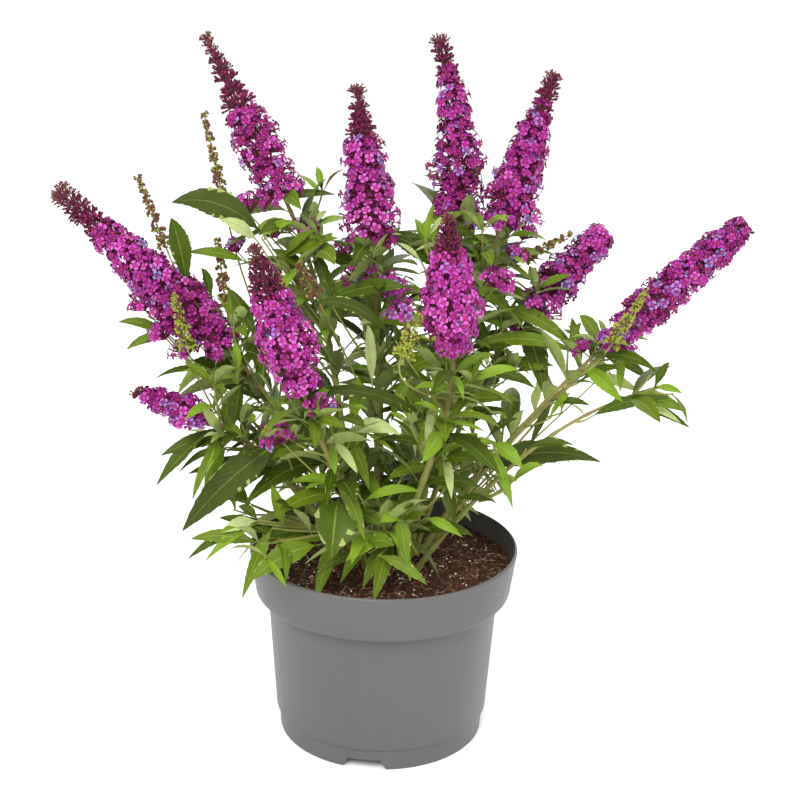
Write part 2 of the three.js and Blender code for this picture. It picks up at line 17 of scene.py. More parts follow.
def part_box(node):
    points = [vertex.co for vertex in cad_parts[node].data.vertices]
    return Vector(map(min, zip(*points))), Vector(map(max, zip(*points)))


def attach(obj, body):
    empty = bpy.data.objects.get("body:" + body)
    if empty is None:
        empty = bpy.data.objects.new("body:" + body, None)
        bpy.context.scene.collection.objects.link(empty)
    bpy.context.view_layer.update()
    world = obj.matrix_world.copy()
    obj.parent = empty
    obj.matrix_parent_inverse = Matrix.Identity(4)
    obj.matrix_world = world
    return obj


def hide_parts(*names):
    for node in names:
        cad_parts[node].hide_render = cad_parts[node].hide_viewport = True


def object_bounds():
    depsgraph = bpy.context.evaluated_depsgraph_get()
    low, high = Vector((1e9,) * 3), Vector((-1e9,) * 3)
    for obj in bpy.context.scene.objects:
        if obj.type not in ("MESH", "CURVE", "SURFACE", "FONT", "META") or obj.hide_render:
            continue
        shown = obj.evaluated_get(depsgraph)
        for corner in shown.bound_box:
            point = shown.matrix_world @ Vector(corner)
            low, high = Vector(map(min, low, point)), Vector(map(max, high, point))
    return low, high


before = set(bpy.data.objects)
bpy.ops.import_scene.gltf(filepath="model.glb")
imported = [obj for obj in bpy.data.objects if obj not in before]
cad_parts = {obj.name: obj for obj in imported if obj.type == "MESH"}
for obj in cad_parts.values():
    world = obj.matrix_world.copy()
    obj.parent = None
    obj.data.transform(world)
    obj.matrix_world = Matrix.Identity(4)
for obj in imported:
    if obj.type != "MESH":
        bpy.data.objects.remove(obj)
CAD_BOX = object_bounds()
MM = 0.001
CROWN_HEIGHT = CAD_BOX[1].z
print("solids:", len(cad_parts), "- height in metres:", round(CROWN_HEIGHT, 3))

# %% [markdown]
# ## Camera, light and floor
# The plant is looked at from a little above, with a long lens so that the pot stays upright.
# A pale floor, a bright even sky and two large soft lamps give the plain look of a plant studio.
# Area lamps were chosen because their soft edges keep the many small leaves readable.

# %% Camera
LOOK_AT = Vector((11.2, 0, 291)) * MM
CAMERA_DISTANCE = 1.2
LOOK_DOWN = 0.310
CAMERA_ROLL = 0.021
FOCAL_PIXELS = 1471
IMAGE_PIXELS = 800
SENSOR = 36


def linked(name, data):
    """A new object at the origin, in the scene."""
    thing = bpy.data.objects.new(name, data)
    bpy.context.collection.objects.link(thing)
    return thing


def add_camera():
    data = bpy.data.cameras.new("camera")
    data.sensor_width = SENSOR
    data.lens = SENSOR * FOCAL_PIXELS / IMAGE_PIXELS
    camera = linked("camera", data)
    forward = Vector((0, math.cos(LOOK_DOWN), -math.sin(LOOK_DOWN)))
    camera.location = LOOK_AT - forward * CAMERA_DISTANCE
    camera.rotation_mode = "QUATERNION"
    level = forward.to_track_quat("-Z", "Y")
    camera.rotation_quaternion = level @ Quaternion((0, 0, 1), CAMERA_ROLL)
    bpy.context.scene.camera = camera
    return camera


print("lens in mm:", round(add_camera().data.lens, 1))

# %% Lamps and sky
SKY_STRENGTH = 1.04
LAMPS = {
    "key": {"place": (-0.5, -1.7, 1.9), "side": 1.1, "watts": 48},
    "fill": {"place": (1.6, -1.0, 1.2), "side": 1.2, "watts": 10},
    "back": {"place": (0.4, 1.7, 1.7), "side": 1.4, "watts": 20},
}


def add_lamp(name, place, side, watts):
    data = bpy.data.lights.new(name, "AREA")
    data.size = side
    data.energy = watts
    lamp = linked(name, data)
    lamp.location = place
    lamp.rotation_mode = "QUATERNION"
    lamp.rotation_quaternion = (LOOK_AT - lamp.location).to_track_quat("-Z", "Y")


for lamp_name, lamp_facts in LAMPS.items():
    add_lamp(lamp_name, **lamp_facts)

sky = bpy.data.worlds.new("studio")
sky.use_nodes = True
sky.node_tree.nodes["Background"].inputs["Color"].default_value = (1, 1, 1, 1)
sky.node_tree.nodes["Background"].inputs["Strength"].default_value = SKY_STRENGTH
bpy.context.scene.world = sky
bpy.context.scene.view_settings.view_transform = "Standard"
print("lamps:", len(LAMPS))

# %% [markdown]
# ## Helpers for nodes
# Shader and geometry nodes are written as Python expressions. `Wire` wraps an output socket, so
# that `1 - mask` or `a * b` adds the Math node it needs. `Board` wraps a node tree, and its one
# method `node` adds any other node: settings first, then the values or links of its sockets.
# This keeps a recipe as short as the sentence that describes it.


# %% Wires and boards
class Wire:
    """An output socket that can take part in arithmetic."""

    def __init__(self, board, socket):
        self.board = board
        self.socket = socket

    def math(self, operation, first, second):
        return self.board.node("ShaderNodeMath", {"operation": operation}, [first, second])

    def __add__(self, other):
        return self.math("ADD", self, other)

    def __sub__(self, other):
        return self.math("SUBTRACT", self, other)

    def __rsub__(self, other):
        return self.math("SUBTRACT", other, self)

    def __mul__(self, other):
        return self.math("MULTIPLY", self, other)

    __radd__ = __add__
    __rmul__ = __mul__


class Board:
    """A node tree that is filled from Python."""

    def __init__(self, tree):
        self.tree = tree

    def node(self, kind, settings=None, inputs=(), output=0):
        made = self.tree.nodes.new(kind)
        for name, value in (settings or {}).items():
            setattr(made, name, value)
        entries = inputs.items() if isinstance(inputs, dict) else enumerate(inputs)
        for key, value in entries:
            if isinstance(value, Wire):
                self.tree.links.new(value.socket, made.inputs[key])
            elif value is not None:
                made.inputs[key].default_value = value
        return Wire(self, made.outputs[output])


def paint(code):
    """A linear colour from a hex code such as 7f7f7f."""
    channels = [int(code[i:i + 2], 16) / 255 for i in (0, 2, 4)]
    linear = [c / 12.92 if c <= 0.04045 else ((c + 0.055) / 1.055) ** 2.4 for c in channels]
    return (*linear, 1)


class Finish(Board):
    """A material round one Principled shader. Constants go straight onto its own sockets."""

    def __init__(self, name, constants):
        self.material = bpy.data.materials.new(name)
        self.material.use_nodes = True
        super().__init__(self.material.node_tree)
        self.shader = self.tree.nodes["Principled BSDF"]
        for socket, value in constants.items():
            self.shader.inputs[socket].default_value = value
        self.place = self.node("ShaderNodeTexCoord", output="Object")

    def noise(self, scale, detail=2, vector=None):
        inputs = {"Vector": vector or self.place, "Scale": scale, "Detail": detail}
        return self.node("ShaderNodeTexNoise", {}, inputs, "Fac")

    def stretched(self, scales):
        return self.node("ShaderNodeMapping", {}, {"Vector": self.place, "Scale": scales})

    def blend(self, factor, first, second):
        mixer = {"data_type": "RGBA", "clamp_factor": True}
        return self.node("ShaderNodeMix", mixer, {0: factor, 6: first, 7: second}, output=2)

    def ramp(self, value, low, high):
        """0 below low, 1 above high, smooth between them."""
        inputs = {"Value": value, "From Min": low, "From Max": high}
        return self.node("ShaderNodeMapRange", {"interpolation_type": "SMOOTHSTEP"}, inputs)

    def feed(self, socket, wire):
        self.tree.links.new(wire.socket, self.shader.inputs[socket])

    def relief(self, height, depth, strength=1.0):
        inputs = {"Height": height, "Distance": depth, "Strength": strength}
        self.feed("Normal", self.node("ShaderNodeBump", {}, inputs))


print("helpers: Wire, Board, Finish")

# %% [markdown]
# ## Helpers for meshes
# Every piece is a mesh whose object stays at the origin, unturned, with its place in its vertices.
# Sizes are thought out in millimetres and turned into Blender's metres at the last step.


# %% Mesh helpers
def new_mesh(name, points, edges=(), faces=()):
    mesh = bpy.data.meshes.new(name)
    mesh.from_pydata((np.asarray(points) * MM).tolist(), edges, faces)
    return mesh


def add_layer(mesh, title, kind, values, domain="POINT"):
    """Stores a value for each point, or each face, under a title that node groups can read."""
    numbers = np.array(values, np.int32 if kind == "INT" else np.float32).ravel()
    field = "vector" if kind == "FLOAT_VECTOR" else "value"
    mesh.attributes.new(title, kind, domain).data.foreach_set(field, numbers)


def mesh_piece(name, points, faces, materials, face_materials=None, smooth_below=None):
    """A mesh object from points in millimetres. Edges sharper than smooth_below degrees stay crisp."""
    mesh = new_mesh(name, points, faces=faces)
    for material in materials:
        mesh.materials.append(material)
    if face_materials is not None:
        mesh.polygons.foreach_set("material_index", face_materials)
    mesh.polygons.foreach_set("use_smooth", [smooth_below is not None] * len(mesh.polygons))
    if smooth_below is not None:
        mesh.set_sharp_from_angle(angle=math.radians(smooth_below))
    mesh.update()
    return linked(name, mesh)


def revolve(profile, segments):
    """Turns a profile of (radius, height) round the upright axis. A radius of 0 is one pole point."""
    points, rings = [], []
    for radius, height in profile:
        if radius == 0:
            rings.append([len(points)] * segments)
            points.append((0, 0, height))
            continue
        rings.append(list(range(len(points), len(points) + segments)))
        for step in range(segments):
            angle = 2 * math.pi * step / segments
            points.append((radius * math.cos(angle), radius * math.sin(angle), height))
    faces = []
    for low, high in zip(rings, rings[1:]):
        for step in range(segments):
            after = (step + 1) % segments
            corners = [low[step], low[after], high[after], high[step]]
            faces.append(list(dict.fromkeys(corners)))
    return points, faces


ARC_SHARES = (0, 0.25, 0.5, 0.75, 1)
LONGEST_ARC = 0.45


def rounded(profile, corners):
    """Replaces the named corners of a profile by short arcs. corners maps an index to a radius."""
    smooth = []
    for i, point in enumerate(profile):
        if i not in corners:
            smooth.append(point)
            continue
        here, before, after = (Vector(p) for p in (point, profile[i - 1], profile[i + 1]))
        start, end = (here + side.normalized() * min(corners[i], side.length * LONGEST_ARC)
                      for side in (before - here, after - here))
        for share in ARC_SHARES:
            smooth.append(tuple(start.lerp(here, share).lerp(here.lerp(end, share), share)))
    return smooth


print("helpers: new_mesh, add_layer, mesh_piece, revolve, rounded")


# %% Helpers for geometry nodes
def applied(piece, modifier):
    """Keeps the plain mesh that a modifier makes, and removes the modifier."""
    bpy.context.view_layer.update()
    graph = bpy.context.evaluated_depsgraph_get()
    mesh = bpy.data.meshes.new_from_object(piece.evaluated_get(graph), depsgraph=graph)
    piece.modifiers.remove(modifier)
    mesh.name = piece.name
    piece.data = mesh
    return piece


def baked(piece, group, inputs):
    """Runs a geometry node group on a piece and keeps the plain mesh that it makes."""
    modifier = piece.modifiers.new("nodes", "NODES")
    modifier.node_group = group
    for item in group.interface.items_tree:
        if item.name in inputs:
            modifier[item.identifier] = inputs[item.name]
    return applied(piece, modifier)


def new_group(name, sockets):
    """A geometry node group with a mesh in and out, and named inputs given as name: (type, value)."""
    group = bpy.data.node_groups.new(name, "GeometryNodeTree")
    face = group.interface
    face.new_socket("Geometry", in_out="INPUT", socket_type="NodeSocketGeometry")
    face.new_socket("Geometry", in_out="OUTPUT", socket_type="NodeSocketGeometry")
    for title, (kind, value) in sockets.items():
        socket = face.new_socket(title, in_out="INPUT", socket_type=f"NodeSocket{kind}")
        if value is not None:
            socket.default_value = value
    board = Board(group)
    entry = group.nodes.new("NodeGroupInput")
    wires = {socket.name: Wire(board, socket) for socket in entry.outputs if socket.name}
    return board, wires


def end_group(board, wire):
    leave = board.tree.nodes.new("NodeGroupOutput")
    board.tree.links.new(wire.socket, leave.inputs[0])
    return board.tree


def carried(board, name, kind="FLOAT"):
    """The values that points or faces carry under a name."""
    return board.node("GeometryNodeInputNamedAttribute", {"data_type": kind}, {"Name": name})


def settle(piece, slot, *nodes):
    """Puts a finished piece on the one body of this plant and hides the solids that it stands for. slot: not
    used.
    """
    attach(piece, "root")
    if nodes:
        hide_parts(*nodes)
    piece.data.calc_loop_triangles()
    print(piece.name, "-", len(piece.data.loop_triangles), "triangles")


print("helpers: applied, baked, new_group, end_group, carried, settle")

# %% Floor
FLOOR_HALF_SIDE = 6000
FLOOR_SIGNS = ((-1, -1), (1, -1), (1, 1), (-1, 1))
FLOOR_FINISH = Finish("studio_floor", {"Roughness": 0.9, "Base Color": paint("fdfdfd")})
floor_corners = [(x * FLOOR_HALF_SIDE, y * FLOOR_HALF_SIDE, 0) for x, y in FLOOR_SIGNS]
studio_floor = mesh_piece("studio_floor", floor_corners, [[0, 1, 2, 3]], [FLOOR_FINISH.material])
print("floor laid, side in metres:", 2 * FLOOR_HALF_SIDE * MM)

# %% [markdown]
# ## The pot
# A nursery pot is one thin moulding of recycled plastic: a tapering wall, a wide band under the
# rim, a stepped foot with drainage notches. It is round, so its outline is drawn once and turned
# round the axis. The corners that a mould rounds off get small arcs. The notches are wedges that a
# Boolean cuts out of the foot.

# %% Pot sizes
POT_LOW, POT_HIGH = (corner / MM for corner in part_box("pot"))
RIM_RADIUS = (POT_HIGH.x - POT_LOW.x) / 2
POT_HEIGHT = POT_HIGH.z
BAND_FOOT_HEIGHT = 125.8
BAND_FOOT_RADIUS = 107.4
LEDGE = 1.6
BODY_TOP_RADIUS = 97.2
BODY_FOOT_RADIUS = 90.2
STEP_HEIGHT = 19
STEP_RADIUS = 88
STEP_RISE = 0.8
FOOT_RADIUS = 86.8
POT_WALL = 2.2
RIM_BEAD = 1.3
RING_FLOOR = 11.8
PLUG_RADIUS = 58
POT_FLOOR = 2.6
POT_SEGMENTS = 192
POT_SHARP_FROM = 35
BAND_SLOPE = (RIM_RADIUS - BAND_FOOT_RADIUS) / (POT_HEIGHT - BAND_FOOT_HEIGHT)


def inner_radius(height, inset=0.0):
    """The radius of the band's inside at a height, less an inset."""
    return RIM_RADIUS - POT_WALL - inset - BAND_SLOPE * (POT_HEIGHT - height)


POT_OUTLINE = [
    (0, 0),
    (FOOT_RADIUS, 0),
    (STEP_RADIUS, STEP_HEIGHT),
    (BODY_FOOT_RADIUS, STEP_HEIGHT + STEP_RISE),
    (BODY_TOP_RADIUS, BAND_FOOT_HEIGHT - LEDGE),
    (BAND_FOOT_RADIUS - LEDGE, BAND_FOOT_HEIGHT),
    (BAND_FOOT_RADIUS, BAND_FOOT_HEIGHT + LEDGE),
    (RIM_RADIUS, POT_HEIGHT - RIM_BEAD),
    (RIM_RADIUS - RIM_BEAD, POT_HEIGHT),
    (inner_radius(POT_HEIGHT), POT_HEIGHT),
    (inner_radius(BAND_FOOT_HEIGHT + POT_WALL), BAND_FOOT_HEIGHT + POT_WALL),
    (BODY_TOP_RADIUS - POT_WALL, BAND_FOOT_HEIGHT + POT_WALL),
    (FOOT_RADIUS - POT_WALL, RING_FLOOR),
    (PLUG_RADIUS, RING_FLOOR),
    (PLUG_RADIUS, POT_FLOOR),
    (0, POT_FLOOR),
]
POT_CORNERS = {1: 1.2, 2: 0.7, 3: 0.7, 4: 3.5, 5: 1.0, 6: 2.2, 7: 0.9, 8: 0.6, 9: 0.5}
print("rim radius:", round(RIM_RADIUS, 1), "height:", round(POT_HEIGHT, 1))

# %% [markdown]
# ## The pot's plastic
# Recycled plastic comes out of the mould as a satin mid grey. It isn't quite even: the melt leaves
# faint clouds and upright flow streaks, and the mould's skin leaves a fine grain. Three noises at
# three scales give these, one of them stretched upwards, which needs no drawing or unwrapping.

# %% Satin grey plastic
PLASTIC_SHADES = ("515050", "5c5b5a")
CLOUD_SCALE = 11
STREAK_SCALES = (90, 90, 7)
GRAIN_SCALE = 1500


def grey_plastic():
    finish = Finish("grey_plastic", {"IOR": 1.5, "Specular IOR Level": 0.28})
    clouds = finish.noise(CLOUD_SCALE, 3)
    streaks = finish.noise(1, 3, finish.stretched(STREAK_SCALES))
    grain = finish.noise(GRAIN_SCALE, 1)
    shades = [paint(code) for code in PLASTIC_SHADES]
    finish.feed("Base Color", finish.blend(clouds * 0.6 + streaks * 0.4, *shades))
    finish.feed("Roughness", 0.36 + 0.14 * streaks)
    finish.relief(grain + clouds * 2, 0.00012, 0.6)
    return finish.material


PLASTIC = grey_plastic()
print("plastic nodes:", len(PLASTIC.node_tree.nodes))

# %% Pot
NOTCHES = 3
NOTCH_FOOT_WIDTH = 38
NOTCH_TOP_WIDTH = 27
NOTCH_HEIGHT = 9
NOTCH_DEPTH = 22
NOTCH_PAST_WALL = 10
NOTCH_BELOW = -1
FIRST_NOTCH = 262


def notch_cutter():
    """One mesh with all the wedges. Each one starts inside the foot and ends outside it."""
    inner, outer = FOOT_RADIUS - NOTCH_DEPTH, FOOT_RADIUS + NOTCH_PAST_WALL
    section = [(-NOTCH_FOOT_WIDTH / 2, NOTCH_BELOW), (NOTCH_FOOT_WIDTH / 2, NOTCH_BELOW),
               (NOTCH_TOP_WIDTH / 2, NOTCH_HEIGHT), (-NOTCH_TOP_WIDTH / 2, NOTCH_HEIGHT)]
    points, faces = [], []
    for index in range(NOTCHES):
        angle = math.radians(FIRST_NOTCH + index * 360 / NOTCHES)
        out, side = (math.cos(angle), math.sin(angle)), (-math.sin(angle), math.cos(angle))
        first = len(points)
        for reach in (inner, outer):
            for across, height in section:
                points.append((out[0] * reach + side[0] * across, out[1] * reach + side[1] * across, height))
        faces += [[first + 3, first + 2, first + 1, first], [first + 4, first + 5, first + 6, first + 7]]
        for k in range(4):
            after = (k + 1) % 4
            faces.append([first + k, first + after, first + 4 + after, first + 4 + k])
    return mesh_piece("notch_cutter", points, faces, [])


def build_pot():
    points, faces = revolve(rounded(POT_OUTLINE, POT_CORNERS), POT_SEGMENTS)
    pot = mesh_piece("pot_moulding", points, faces, [PLASTIC], smooth_below=POT_SHARP_FROM)
    cutter = notch_cutter()
    cut = pot.modifiers.new("notches", "BOOLEAN")
    cut.operation = "DIFFERENCE"
    cut.solver = "EXACT"
    cut.object = cutter
    applied(pot, cut).data.set_sharp_from_angle(angle=math.radians(POT_SHARP_FROM))
    bpy.data.objects.remove(cutter)
    return pot


settle(build_pot(), "pot", "pot")

# %% [markdown]
# ## The peat
# Potting peat is dark and crumbly, with pale root fibres and white grains of perlite on top. The
# filling is turned like the pot, and its top is lifted and dented by noise. The loose bits lie
# where chance puts them, which is a job for geometry nodes: scatter points over the surface, stand
# a crumb on each, and make the copies real.

# %% Peat surface
SOIL_EDGE_HEIGHT = 147.5
SOIL_CROWN_HEIGHT = 151
SOIL_CROWN_RADIUS = 50
SOIL_GAP = 0.3
SOIL_RINGS = 46
SOIL_SEGMENTS = 150
LUMPS = ((17, 0, 2.0), (4.5, 40, 1.5), (1.9, 90, 0.9))
LUMP_SINK = 1.2
SMOOTH_EDGE = 6
PEAT_COLOURS = ("2c1912", "65422e")
CLOD_SCALE = 260


def peat_lift(x, y):
    """How far the peat stands off its even surface. LUMPS holds (size, layer of noise, height)."""
    lifts = (height * noise.noise(Vector((x, y, layer)) / size) for size, layer, height in LUMPS)
    return sum(lifts) - LUMP_SINK


def peat_finish():
    finish = Finish("peat", {"Roughness": 0.95, "Specular IOR Level": 0.15})
    clods = finish.noise(CLOD_SCALE, 5)
    finish.feed("Base Color", finish.blend(finish.ramp(clods, 0.35, 0.68), *map(paint, PEAT_COLOURS)))
    finish.relief(clods, 0.0012)
    return finish.material


def build_peat():
    edge = inner_radius(SOIL_EDGE_HEIGHT, SOIL_GAP)
    floor = BAND_FOOT_HEIGHT + POT_WALL + SOIL_GAP
    outline = [
        (0, POT_FLOOR + SOIL_GAP),
        (PLUG_RADIUS - SOIL_GAP, POT_FLOOR + SOIL_GAP),
        (PLUG_RADIUS - SOIL_GAP, RING_FLOOR + SOIL_GAP),
        (FOOT_RADIUS - POT_WALL - SOIL_GAP, RING_FLOOR + SOIL_GAP),
        (BODY_TOP_RADIUS - POT_WALL - SOIL_GAP, floor),
        (inner_radius(floor, SOIL_GAP), floor),
    ]
    for ring in range(SOIL_RINGS):
        radius = edge * (1 - ring / SOIL_RINGS)
        rise = min(1, (edge - radius) / (edge - SOIL_CROWN_RADIUS))
        outline.append((radius, SOIL_EDGE_HEIGHT + rise * (SOIL_CROWN_HEIGHT - SOIL_EDGE_HEIGHT)))
    outline.append((0, SOIL_CROWN_HEIGHT))
    points, faces = revolve(outline, SOIL_SEGMENTS)
    raised = []
    for x, y, z in points:
        inward = edge - math.hypot(x, y)
        share = min(1, max(0, inward) / SMOOTH_EDGE) if z > SOIL_EDGE_HEIGHT else 0
        raised.append((x, y, z + peat_lift(x, y) * share))
    return mesh_piece("peat_filling", raised, faces, [peat_finish()], smooth_below=60)


peat_filling = build_peat()
settle(peat_filling, "soil", "soil")

# %% Scatter group for crumbs, fibres and grains
TOP_FACES_ABOVE = 146.2 * MM
MOST_TILT = 0.5
HALF_TURN = 3.14


def scatter_group():
    """Stands copies of a form on the upper faces of a mesh, each turned and sized by chance."""
    board, given = new_group("scatter on top", {
        "Form": ("Object", None), "Density": ("Float", 1.0), "Least Size": ("Float", 0.5),
        "Most Size": ("Float", 1.0), "Sink": ("Float", 0.0), "Reach": ("Float", 1.0),
        "Seed": ("Int", 0), "Look": ("Material", None)})
    position = board.node("GeometryNodeInputPosition")
    height = board.node("ShaderNodeSeparateXYZ", {}, [position], "Z")
    flat = board.node("ShaderNodeVectorMath", {"operation": "MULTIPLY"}, [position, (1, 1, 0)])
    from_axis = board.node("ShaderNodeVectorMath", {"operation": "LENGTH"}, [flat], "Value")
    high = board.node("FunctionNodeCompare", {"operation": "GREATER_THAN"}, [height, TOP_FACES_ABOVE])
    near = board.node("FunctionNodeCompare", {"operation": "LESS_THAN"}, [from_axis, given["Reach"]])
    both = board.node("FunctionNodeBooleanMath", {"operation": "AND"}, [high, near])
    points = board.node("GeometryNodeDistributePointsOnFaces", {}, {
        "Mesh": given["Geometry"], "Selection": both, "Density": given["Density"], "Seed": given["Seed"]})
    normal = Wire(board, points.socket.node.outputs["Rotation"])
    spin = board.node("FunctionNodeRandomValue", {"data_type": "FLOAT_VECTOR"},
                      {0: (-MOST_TILT, -MOST_TILT, -HALF_TURN),
                       1: (MOST_TILT, MOST_TILT, HALF_TURN), 8: given["Seed"]})
    turned = board.node("FunctionNodeEulerToRotation", {}, [spin])
    pose = board.node("FunctionNodeRotateRotation", {"rotation_space": "LOCAL"}, [normal, turned])
    size = board.node("FunctionNodeRandomValue", {"data_type": "FLOAT"},
                      {2: given["Least Size"], 3: given["Most Size"], 8: given["Seed"]}, 1)
    form = board.node("GeometryNodeObjectInfo", {}, {"Object": given["Form"]}, "Geometry")
    copies = board.node("GeometryNodeInstanceOnPoints", {}, {
        "Points": points, "Instance": form, "Rotation": pose, "Scale": size})
    real = board.node("GeometryNodeRealizeInstances", {}, [copies])
    drop = board.node("ShaderNodeCombineXYZ", {}, {"Z": given["Sink"] * -1})
    sunk = board.node("GeometryNodeSetPosition", {}, {"Geometry": real, "Offset": drop})
    dressed = board.node("GeometryNodeSetMaterial", {}, {"Geometry": sunk, "Material": given["Look"]})
    return end_group(board, dressed)


SCATTER = scatter_group()
print("scatter group nodes:", len(SCATTER.nodes))

# %% Crumbs, chips, fibres and grains
FIBRE = {"length": 10, "points": 8, "radius": 0.13, "sway": (2.2, 4.0), "lift": (0.9, 5.5)}
RIM_MARGIN = 2.5


def crumb_form(name, lumpiness, seed):
    """A rough pebble of twenty faces, about a millimetre across."""
    mesh = bpy.data.meshes.new(name)
    ball = bmesh.new()
    bmesh.ops.create_icosphere(ball, subdivisions=1, radius=0.5 * MM)
    for i, vertex in enumerate(ball.verts):
        vertex.co *= 1 + lumpiness * noise.noise(Vector((i * 3.7, seed, 0)))
    ball.to_mesh(mesh)
    ball.free()
    return bpy.data.objects.new(name, mesh)


def fibre_form():
    """A root fibre: a thin three-sided thread in a loose curve."""
    (sway, sway_rate), (lift, lift_rate) = FIBRE["sway"], FIBRE["lift"]
    path = [(t * FIBRE["length"] - FIBRE["length"] / 2, sway * math.sin(t * sway_rate),
             lift * math.sin(t * lift_rate)) for t in np.linspace(0, 1, FIBRE["points"])]
    points, faces = [], []
    for i, (x, y, z) in enumerate(path):
        for k in range(3):
            angle = 2 * math.pi * k / 3
            points.append((x, y + FIBRE["radius"] * math.cos(angle), z + FIBRE["radius"] * math.sin(angle)))
        if i:
            low, high = 3 * i - 3, 3 * i
            faces += [[low + k, low + (k + 1) % 3, high + (k + 1) % 3, high + k] for k in range(3)]
    faces += [[2, 1, 0], [3 * len(path) - 3, 3 * len(path) - 2, 3 * len(path) - 1]]
    return bpy.data.objects.new("fibre", new_mesh("fibre", points, faces=faces))


def mottled(name, colour, roughness, gloss=0.2, scale=400, spread=0.25):
    """A plain colour with slight mottling, lighter and darker by the spread."""
    finish = Finish(name, {"Roughness": roughness, "Specular IOR Level": gloss})
    mottle = finish.noise(scale, 2)
    base = np.array(paint(colour)[:3])
    dark, light = base * (1 - spread), np.minimum(base * (1 + spread), 1)
    finish.feed("Base Color", finish.blend(mottle, (*dark, 1), (*light, 1)))
    return finish.material


LOOSE_BITS = {
    "peat_crumbs": {"form": crumb_form("crumb", 1.1, 1), "density": 110000, "sizes": (1.0, 3.4),
                    "sink": 0.2, "seed": 3, "look": mottled("peat_crumb", "3c241b", 0.95)},
    "bark_chips": {"form": crumb_form("chip", 1.6, 5), "density": 9000, "sizes": (1.8, 4.6),
                   "sink": 0.2, "seed": 8, "look": mottled("bark_chip", "684a38", 0.9)},
    "root_fibres": {"form": fibre_form(), "density": 13000, "sizes": (0.6, 1.5),
                    "sink": -0.3, "seed": 5, "look": mottled("root_fibre", "c2a67e", 0.85)},
    "perlite_grains": {"form": crumb_form("grain", 0.9, 9), "density": 5200, "sizes": (0.7, 2.2),
                       "sink": -0.1, "seed": 6, "look": mottled("perlite", "e8e2d6", 0.8)},
}


def scatter_bits(name, form, density, sizes, sink, seed, look):
    piece = baked(linked(name, peat_filling.data.copy()), SCATTER, {
        "Form": form, "Density": density, "Least Size": sizes[0], "Most Size": sizes[1], "Sink": sink * MM,
        "Reach": (inner_radius(SOIL_EDGE_HEIGHT) - RIM_MARGIN) * MM, "Seed": seed, "Look": look})
    bpy.data.objects.remove(form)
    settle(piece, "soil")


for bits_name, bits_facts in LOOSE_BITS.items():
    scatter_bits(bits_name, **bits_facts)

# %% [markdown]
# ## How the plant grows
# The plant is grown by a rule, the same one as its solids. A shoot is a curve that leaves the peat
# steeply and leans out towards its panicle. Above the bare limb, leaves stand on it in opposite
# pairs, each pair turned a quarter from the last, and a twig leaves one axil of each pair. Every
# leaf is tried against the limbs, the pot's rim and the panicles; one that would touch is turned,
# shortened, and at last left out. The numbers that chance gives come from a seeded sequence, so
# that the plant is the same on every run. All the growing is done in millimetres.

# %% Growing sizes
JOINT_GAP = 0.3
LIMB = {"foot_radius": 3.1, "head_radius": 1.5, "share": 0.42, "stand_near": 8, "stand_share": 0.16,
        "stand": (10, 36), "upright": 0.3, "foot_pull": 0.36, "head_pull": 0.3, "steps": 6}
INTERNODE = 29
MASS = {"steps": 4, "side_radius": 1.9, "tip_radius": 1.1, "tuft_turns": (20, 110, 200, 290),
        "tuft_angle": 40, "tuft_leaf": 0.8}
SIDE = {"aim": 0.75, "knee": 0.4, "rest": 0.6}
PANICLE_STEPS = 8
SPACE = {"margin": 1.2, "reach": 105, "limb": 1, "panicle": 1.5, "spike": 4.6, "leaf": 5}
HOOPS = {"heights": (140, 146, 152, 158, 163), "points": 41}
TWIG = {"radius": 1.15, "tip_radius": 0.7, "leaf_pitch": 24, "angle": (38, 52), "from_leaf": 38, "rise": 0.35,
        "leaf": 0.72, "fade": (0.6, 0.42), "uneven": (0.8, 1.2), "leaf_fade": (1, 0.62),
        "leaf_uneven": (0.85, 1.12)}
LEAF = {"width_share": 0.28, "edge": 0.4, "widest": 0.42, "roundness": 0.8, "fade": (1.2, 0.75),
        "uneven": (0.86, 1.12), "swing": (-20, 20), "angle": (50, 72),
        "twig_angle": (48, 66), "droop": (0.04, 0.36), "roll": (-50, 50)}
TRY = {"count": 7, "turn": 24, "angle": 4, "shorter": 0.07}
SEED = 8
UP = np.array([0.0, 0.0, 1.0])
print("leaf pairs every", INTERNODE, "mm, seed:", SEED)

# %% [markdown]
# ## The shoots
# A row gives a flowering shoot its panicle's foot and tip, the blossom's girth, the length of its
# leaves and how the blossom tapers. One more limb carries only leaves. A side shoot's row gives its
# limb, the share of the limb's length where it leaves, its direction round the plant and its rise in
# degrees, its length and its leaves' length. Three masses also carry a slender spike of closed buds,
# whose row gives where on the shoot its stalk leaves, and its foot and tip.

# %% Shoots
SHOOTS = {
    "left_far": ((-129, 0, 330), (-265, 5, 460), 50, 84, 0.78),
    "left_tall": ((-86, 35, 450), (-150, 50, 576), 46, 84, 0.78),
    "mid_left": ((-14, 25, 416), (-28, 30, 540), 47, 78, 0.78),
    "mid_tall": ((54, 45, 440), (35, 60, 576), 42, 82, 0.78),
    "right_tall": ((89, 30, 430), (128, 40, 552), 43, 80, 0.78),
    "right_mid": ((119, 56, 354), (184, 90, 417), 33, 76, 0.25),
    "right_far": ((172, -10, 341), (279, -10, 445), 37, 62, 0.25),
    "front_mid": ((50, -85, 356), (42, -115, 466), 56, 76, 0.78),
    "front_left": ((-62, -90, 326), (-96, -120, 444), 54, 78, 0.78),
    "left_low": ((-141, -45, 286), (-193, -60, 312), 27, 74, 0.4),
    "back_left": ((-14, 120, 400), (-29, 165, 510), 44, 80, 0.78),
    "back_right": ((100, 110, 422), (133, 150, 525), 42, 80, 0.78),
    "rear_left": ((-146, 105, 305), (-240, 165, 385), 44, 78, 0.78),
    "rear_mid": ((50, 150, 300), (54, 215, 390), 42, 78, 0.78),
    "rear_right": ((195, 90, 318), (288, 140, 400), 36, 62, 0.78),
}
